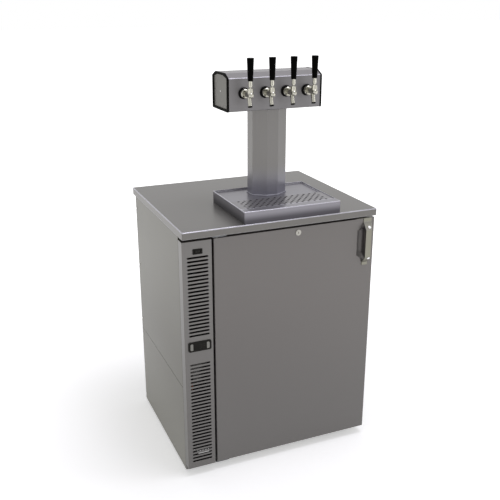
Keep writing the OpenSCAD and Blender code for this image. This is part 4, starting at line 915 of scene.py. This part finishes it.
@dataclass
class ControlPanel:
    """The controller's lens and digits, and the marks on the rocker switch.

    Args:
        lens_w: Width of the lens.
        lens_h: Height of the lens.
        lens_t: Thickness of the lens.
        digit_w: Width of a digit.
        digit_h: Height of a digit.
        stroke: Width of a segment of a digit.
        reading: The two digits that show.
        shift: How far the reading stands right of the lens's middle.
        mark_h: Height of a mark on the rocker.
    """

    lens_w: float = 0.0400
    lens_h: float = 0.0241
    lens_t: float = 0.0006
    digit_w: float = 0.0085
    digit_h: float = 0.0145
    stroke: float = 0.0016
    reading: str = "38"
    shift: float = 0.0075
    mark_h: float = 0.0048

    SEGMENTS: ClassVar[dict[str, tuple[float, float, bool]]] = {
        "top": (0, 1, False), "middle": (0, 0, False), "bottom": (0, -1, False),
        "upper_left": (-1, 0.5, True), "upper_right": (1, 0.5, True),
        "lower_left": (-1, -0.5, True), "lower_right": (1, -0.5, True),
    }
    LIT: ClassVar[dict[str, tuple[str, ...]]] = {
        "3": ("top", "middle", "bottom", "upper_right", "lower_right"),
        "8": ("top", "middle", "bottom", "upper_left", "upper_right", "lower_left", "lower_right"),
    }

    def build(self) -> None:
        """Builds the lens, the digits and the marks."""
        face = self.lens()
        self.digits(face)
        self.rocker_marks()

    def lens(self) -> Vector:
        """Builds the lens in its recess.

        Returns:
            The middle of its front face.
        """
        low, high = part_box("controller_case")
        start = ((low.x + high.x) / 2, low.y - REACH, (low.z + high.z) / 2)
        point, _ = touch("controller_case", start, (0, 1, 0))
        bpy.ops.object.select_all(action="DESELECT")
        bpy.ops.mesh.primitive_cube_add(size=1, location=(point.x, point.y - self.lens_t / 2,
                                                          point.z))
        plate = named("display_lens")
        plate.scale = (self.lens_w, self.lens_t, self.lens_h)
        settle(plate)
        with editing(plate):
            choose_faces(plate, lambda middle, normal: normal.y < -0.9)
            bpy.ops.mesh.inset(thickness=self.lens_t)
            bpy.ops.transform.translate(value=(0, -self.lens_t * 0.3, 0))
        rounded(plate, self.lens_t * 0.3)
        carry(plate, "cabinet", DARK_LENS)
        return Vector((point.x, point.y - self.lens_t * 1.3, point.z))

    def segment(self, length: float) -> bpy.types.Object:
        """Models one bar of a digit, lying along X with pointed ends."""
        bpy.ops.object.select_all(action="DESELECT")
        bpy.ops.mesh.primitive_cube_add(size=1, location=(0, 0, 0))
        bar = named("segment")
        bar.scale = (length, self.stroke * 0.14, self.stroke)
        settle(bar)
        with editing(bar):
            for side in (-1, 1):
                choose_faces(bar, lambda middle, normal, side=side: normal.x * side > 0.9)
                bpy.ops.transform.resize(value=(1, 1, 0.3),
                                         center_override=(side * length / 2, 0, 0))
        return bar

    def digits(self, face: Vector) -> None:
        """Builds the reading on the lens from bars."""
        bars = []
        for place, digit in enumerate(self.reading):
            offset = (place - (len(self.reading) - 1) / 2) * self.digit_w * 1.5
            centre = face.x + self.shift + offset
            for name in self.LIT[digit]:
                across, up, upright = self.SEGMENTS[name]
                length = (self.digit_h / 2 if upright else self.digit_w) - self.stroke * 0.7
                bar = self.segment(length)
                spot = Vector((centre + across * self.digit_w / 2, face.y - self.stroke * 0.05,
                               face.z + up * self.digit_h / 2))
                turn = Matrix.Rotation(math.pi / 2 if upright else 0.0, 4, "Y")
                bars.append(copied(bar, Matrix.Translation(spot) @ turn))
                bpy.data.objects.remove(bar)
        carry(joined("display_digits", bars), "cabinet", DIM_DIGIT)

    def rocker_marks(self) -> None:
        """Builds the line and the ring that mark the rocker's two sides."""
        low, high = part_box("switch_rocker")
        z = (low.z + high.z) / 2
        quarter = (high.x - low.x) / 4
        for name, x, model in (("rocker_line", low.x + quarter, self.line_mark),
                               ("rocker_ring", high.x - quarter, self.ring_mark)):
            place = standing_on(*touch("switch_rocker", (x, low.y - REACH, z), (0, 1, 0)))
            mark = model()
            twin = copied(mark, place)
            bpy.data.objects.remove(mark)
            twin.name = twin.data.name = name
            carry(twin, "power_switch", PRINT_GREY)

    def line_mark(self) -> bpy.types.Object:
        """Models the straight mark, standing on the origin."""
        bpy.ops.object.select_all(action="DESELECT")
        bpy.ops.mesh.primitive_cube_add(size=1)
        mark = named("line_master")
        mark.scale = (self.mark_h * 0.16, self.mark_h, self.mark_h * 0.06)
        return rounded(settle(mark), self.mark_h * 0.02, 1)

    def ring_mark(self) -> bpy.types.Object:
        """Models the round mark from a disc that is opened through its middle."""
        bpy.ops.object.select_all(action="DESELECT")
        depth = self.mark_h * 0.06
        bpy.ops.mesh.primitive_cylinder_add(vertices=24, radius=self.mark_h / 2, depth=depth)
        mark = named("ring_master")
        with editing(mark):
            choose_faces(mark, lambda middle, normal: abs(normal.z) > 0.9)
            bpy.ops.mesh.inset(thickness=self.mark_h * 0.15)
            bpy.ops.mesh.bridge_edge_loops()
        return settle(mark)


@dataclass
class FanGuard:
    """Wire guard in front of the evaporator fan.

    Args:
        wire_r: Radius of a wire.
        rings: Radii of the rings.
        spokes: Number of spokes.
    """

    wire_r: float = 0.0009
    rings: tuple[float, ...] = (0.010, 0.018, 0.026, 0.0345, 0.038)
    spokes: int = 4

    def build(self) -> None:
        """Builds the rings and the spokes and joins them."""
        cover_low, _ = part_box("evaporator_cover")
        fan_low, fan_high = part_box("evaporator_fan")
        middle = Vector(((fan_low.x + fan_high.x) / 2, cover_low.y - self.wire_r * 0.8,
                         (fan_low.z + fan_high.z) / 2))
        wires = [self.ring(middle, radius) for radius in self.rings]
        for spoke in range(self.spokes):
            wires.append(self.spoke(middle, FULL_TURN * (spoke + 0.5) / (2 * self.spokes)))
        guard = joined("evaporator_guard", wires)
        carry(guard, "cabinet", CHROME_PLATE)

    def ring(self, middle: Vector, radius: float) -> bpy.types.Object:
        """Spins a wire's section into a ring round the fan's axis."""
        bpy.ops.object.select_all(action="DESELECT")
        bpy.ops.mesh.primitive_circle_add(vertices=8, radius=self.wire_r,
                                          location=(middle.x + radius, middle.y, middle.z))
        wire = settle(named("ring_wire"))
        with editing(wire, "VERT"):
            bpy.ops.mesh.select_all(action="SELECT")
            bpy.ops.mesh.spin(steps=48, angle=FULL_TURN, center=middle, axis=(0, 1, 0))
            bpy.ops.mesh.select_all(action="SELECT")
            bpy.ops.mesh.remove_doubles(threshold=self.wire_r * 0.05)
            bpy.ops.mesh.normals_make_consistent(inside=False)
        bpy.ops.object.shade_smooth_by_angle(angle=math.radians(60))
        return wire

    def spoke(self, middle: Vector, turn: float) -> bpy.types.Object:
        """Builds one straight wire across the rings, with rounded ends."""
        bpy.ops.object.select_all(action="DESELECT")
        reach = self.rings[-1] + self.wire_r * 2
        bpy.ops.mesh.primitive_cylinder_add(vertices=8, radius=self.wire_r, depth=2 * reach,
                                            location=middle)
        wire = settle(named("spoke_wire"))
        with editing(wire):
            choose_faces(wire, lambda centre, normal: abs(normal.z) > 0.9)
            bpy.ops.mesh.bevel(offset=self.wire_r * 0.4, segments=2, affect="EDGES")
        wire.data.transform(Matrix.Translation(middle) @ Matrix.Rotation(turn, 4, "Y")
                            @ Matrix.Translation(-middle))
        bpy.ops.object.shade_smooth_by_angle(angle=math.radians(60))
        return wire


@dataclass(frozen=True)
class Lamp:
    """A square soft lamp.

    Args:
        name: Its name.
        place: Where it hangs.
        size: Its side.
        power: Its power in watts.
        colour: Its colour.
    """

    name: str
    place: tuple[float, float, float]
    size: float
    power: float
    colour: Colour


@dataclass
class Studio:
    """Floor, background, lamps and camera.

    Args:
        lamps: The lamps.
        target: The point that the lamps face.
        floor_size: Side of the floor.
        glow: How bright the floor shows by itself under the object.
        glow_rise: How much brighter it shows far away.
        glow_fade: Distances over which it gets brighter.
        ambient: Level of the light from all round.
        eye: Where the camera stands.
        azimuth: Its turn to the right from +Y, in degrees.
        elevation: Its tilt downwards, in degrees.
        lens: Its focal length in millimetres on a 36 mm frame.
    """

    lamps: tuple[Lamp, ...] = (
        Lamp("left_lamp", (-6.2, -2.4, 1.2), 3.4, 25.0, (1.0, 0.985, 0.94)),
        Lamp("top_lamp", (0.5, -0.5, 4.2), 1.6, 52.0, (0.93, 0.91, 1.0)),
        Lamp("right_lamp", (3.4, -1.8, 1.6), 1.2, 19.0, (0.98, 0.98, 1.0)),
    )
    target: tuple[float, float, float] = (0.0, 0.0, 0.7)
    floor_size: float = 60.0
    glow: float = 0.42
    glow_rise: float = 0.55
    glow_fade: tuple[float, float] = (0.45, 2.4)
    ambient: float = 0.42
    eye: tuple[float, float, float] = (-1.00630, -2.37753, 1.63406)
    azimuth: float = 22.992
    elevation: float = 19.674
    lens: float = 52.66

    def build(self) -> None:
        """Builds the floor, the background, the lamps and the camera."""
        scene = bpy.context.scene
        scene.view_settings.view_transform = "Standard"
        self.floor()
        self.background(scene)
        for lamp in self.lamps:
            self.hang(lamp)
        self.camera(scene)

    @staticmethod
    def seen(graph: Graph) -> Signal:
        """Gives 1 where the camera, a reflection or clear plastic looks, and 0 for plain light."""
        rays = graph.node("ShaderNodeLightPath")
        seen = graph.maths("MAXIMUM", graph.signal(rays, "Is Camera Ray"),
                           graph.signal(rays, "Is Glossy Ray"))
        return graph.maths("MAXIMUM", seen, graph.signal(rays, "Is Transmission Ray"))

    def floor(self) -> None:
        """Builds the pale floor."""
        bpy.ops.object.select_all(action="DESELECT")
        bpy.ops.mesh.primitive_plane_add(size=self.floor_size)
        floor = named("floor")
        material = bpy.data.materials.new("pale_floor")
        graph = Graph(material)
        reach = graph.node("ShaderNodeVectorMath", {"operation": "LENGTH"}, {0: graph.place()})
        far = graph.fade(graph.signal(reach, "Value"), *self.glow_fade)
        glow = self.seen(graph) * (self.glow + far * self.glow_rise)
        graph.surface({
            "Base Color": tone(246, 246, 246),
            "Roughness": 0.9,
            "Specular IOR Level": 0.0,
            "Emission Color": graph.mix(glow, (0.0, 0.0, 0.0), (1.0, 1.0, 1.0)),
            "Emission Strength": 1.0,
        })
        floor.data.materials.append(material)

    def background(self, scene: bpy.types.Scene) -> None:
        """Makes the world white where it is seen and an even soft light elsewhere."""
        world = scene.world or bpy.data.worlds.new("studio")
        scene.world = world
        graph = Graph(world)
        seen = self.seen(graph)
        strength = self.ambient + seen * (1.0 - self.ambient)
        shader = graph.node("ShaderNodeBackground", None,
                            {"Color": (1.0, 1.0, 1.0), "Strength": strength})
        graph.node("ShaderNodeOutputWorld", None, {"Surface": shader.outputs[0]})

    def hang(self, lamp: Lamp) -> None:
        """Hangs a lamp that faces the target."""
        data = bpy.data.lights.new(lamp.name, "AREA")
        data.energy, data.size, data.color = lamp.power, lamp.size, lamp.colour
        light = bpy.data.objects.new(lamp.name, data)
        light.location = lamp.place
        ahead = Vector(self.target) - Vector(lamp.place)
        light.rotation_euler = ahead.to_track_quat("-Z", "Y").to_euler()
        bpy.context.scene.collection.objects.link(light)

    def camera(self, scene: bpy.types.Scene) -> None:
        """Sets the camera where the photograph was taken from."""
        data = bpy.data.cameras.new("camera")
        data.lens, data.sensor_width = self.lens, 36.0
        data.clip_start, data.clip_end = 0.05, 200.0
        camera = bpy.data.objects.new("camera", data)
        turn, tilt = math.radians(self.azimuth), math.radians(self.elevation)
        level = math.cos(tilt)
        ahead = Vector((math.sin(turn) * level, math.cos(turn) * level, -math.sin(tilt)))
        camera.location = self.eye
        camera.rotation_euler = ahead.to_track_quat("-Z", "Y").to_euler()
        scene.collection.objects.link(camera)
        scene.camera = camera


def dress_frame() -> None:
    """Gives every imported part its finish."""
    for finish, nodes in NODE_FINISHES.items():
        for node in nodes:
            dress(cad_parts[node], finish)
    bare = set(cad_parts) - {node for nodes in NODE_FINISHES.values() for node in nodes}
    if bare:
        raise ValueError(f"no finish for {sorted(bare)}")
    log.info("%d packed parts dressed", len(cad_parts))


def main() -> None:
    """Builds the scene in order."""
    logging.basicConfig(level=logging.INFO, format="%(name)s: %(message)s")
    Studio().build()
    dress_frame()
    Fasteners().build()
    DarkSpoutRings().build()
    ControlPanel().build()
    FanGuard().build()


if __name__ == "__main__":
    main()
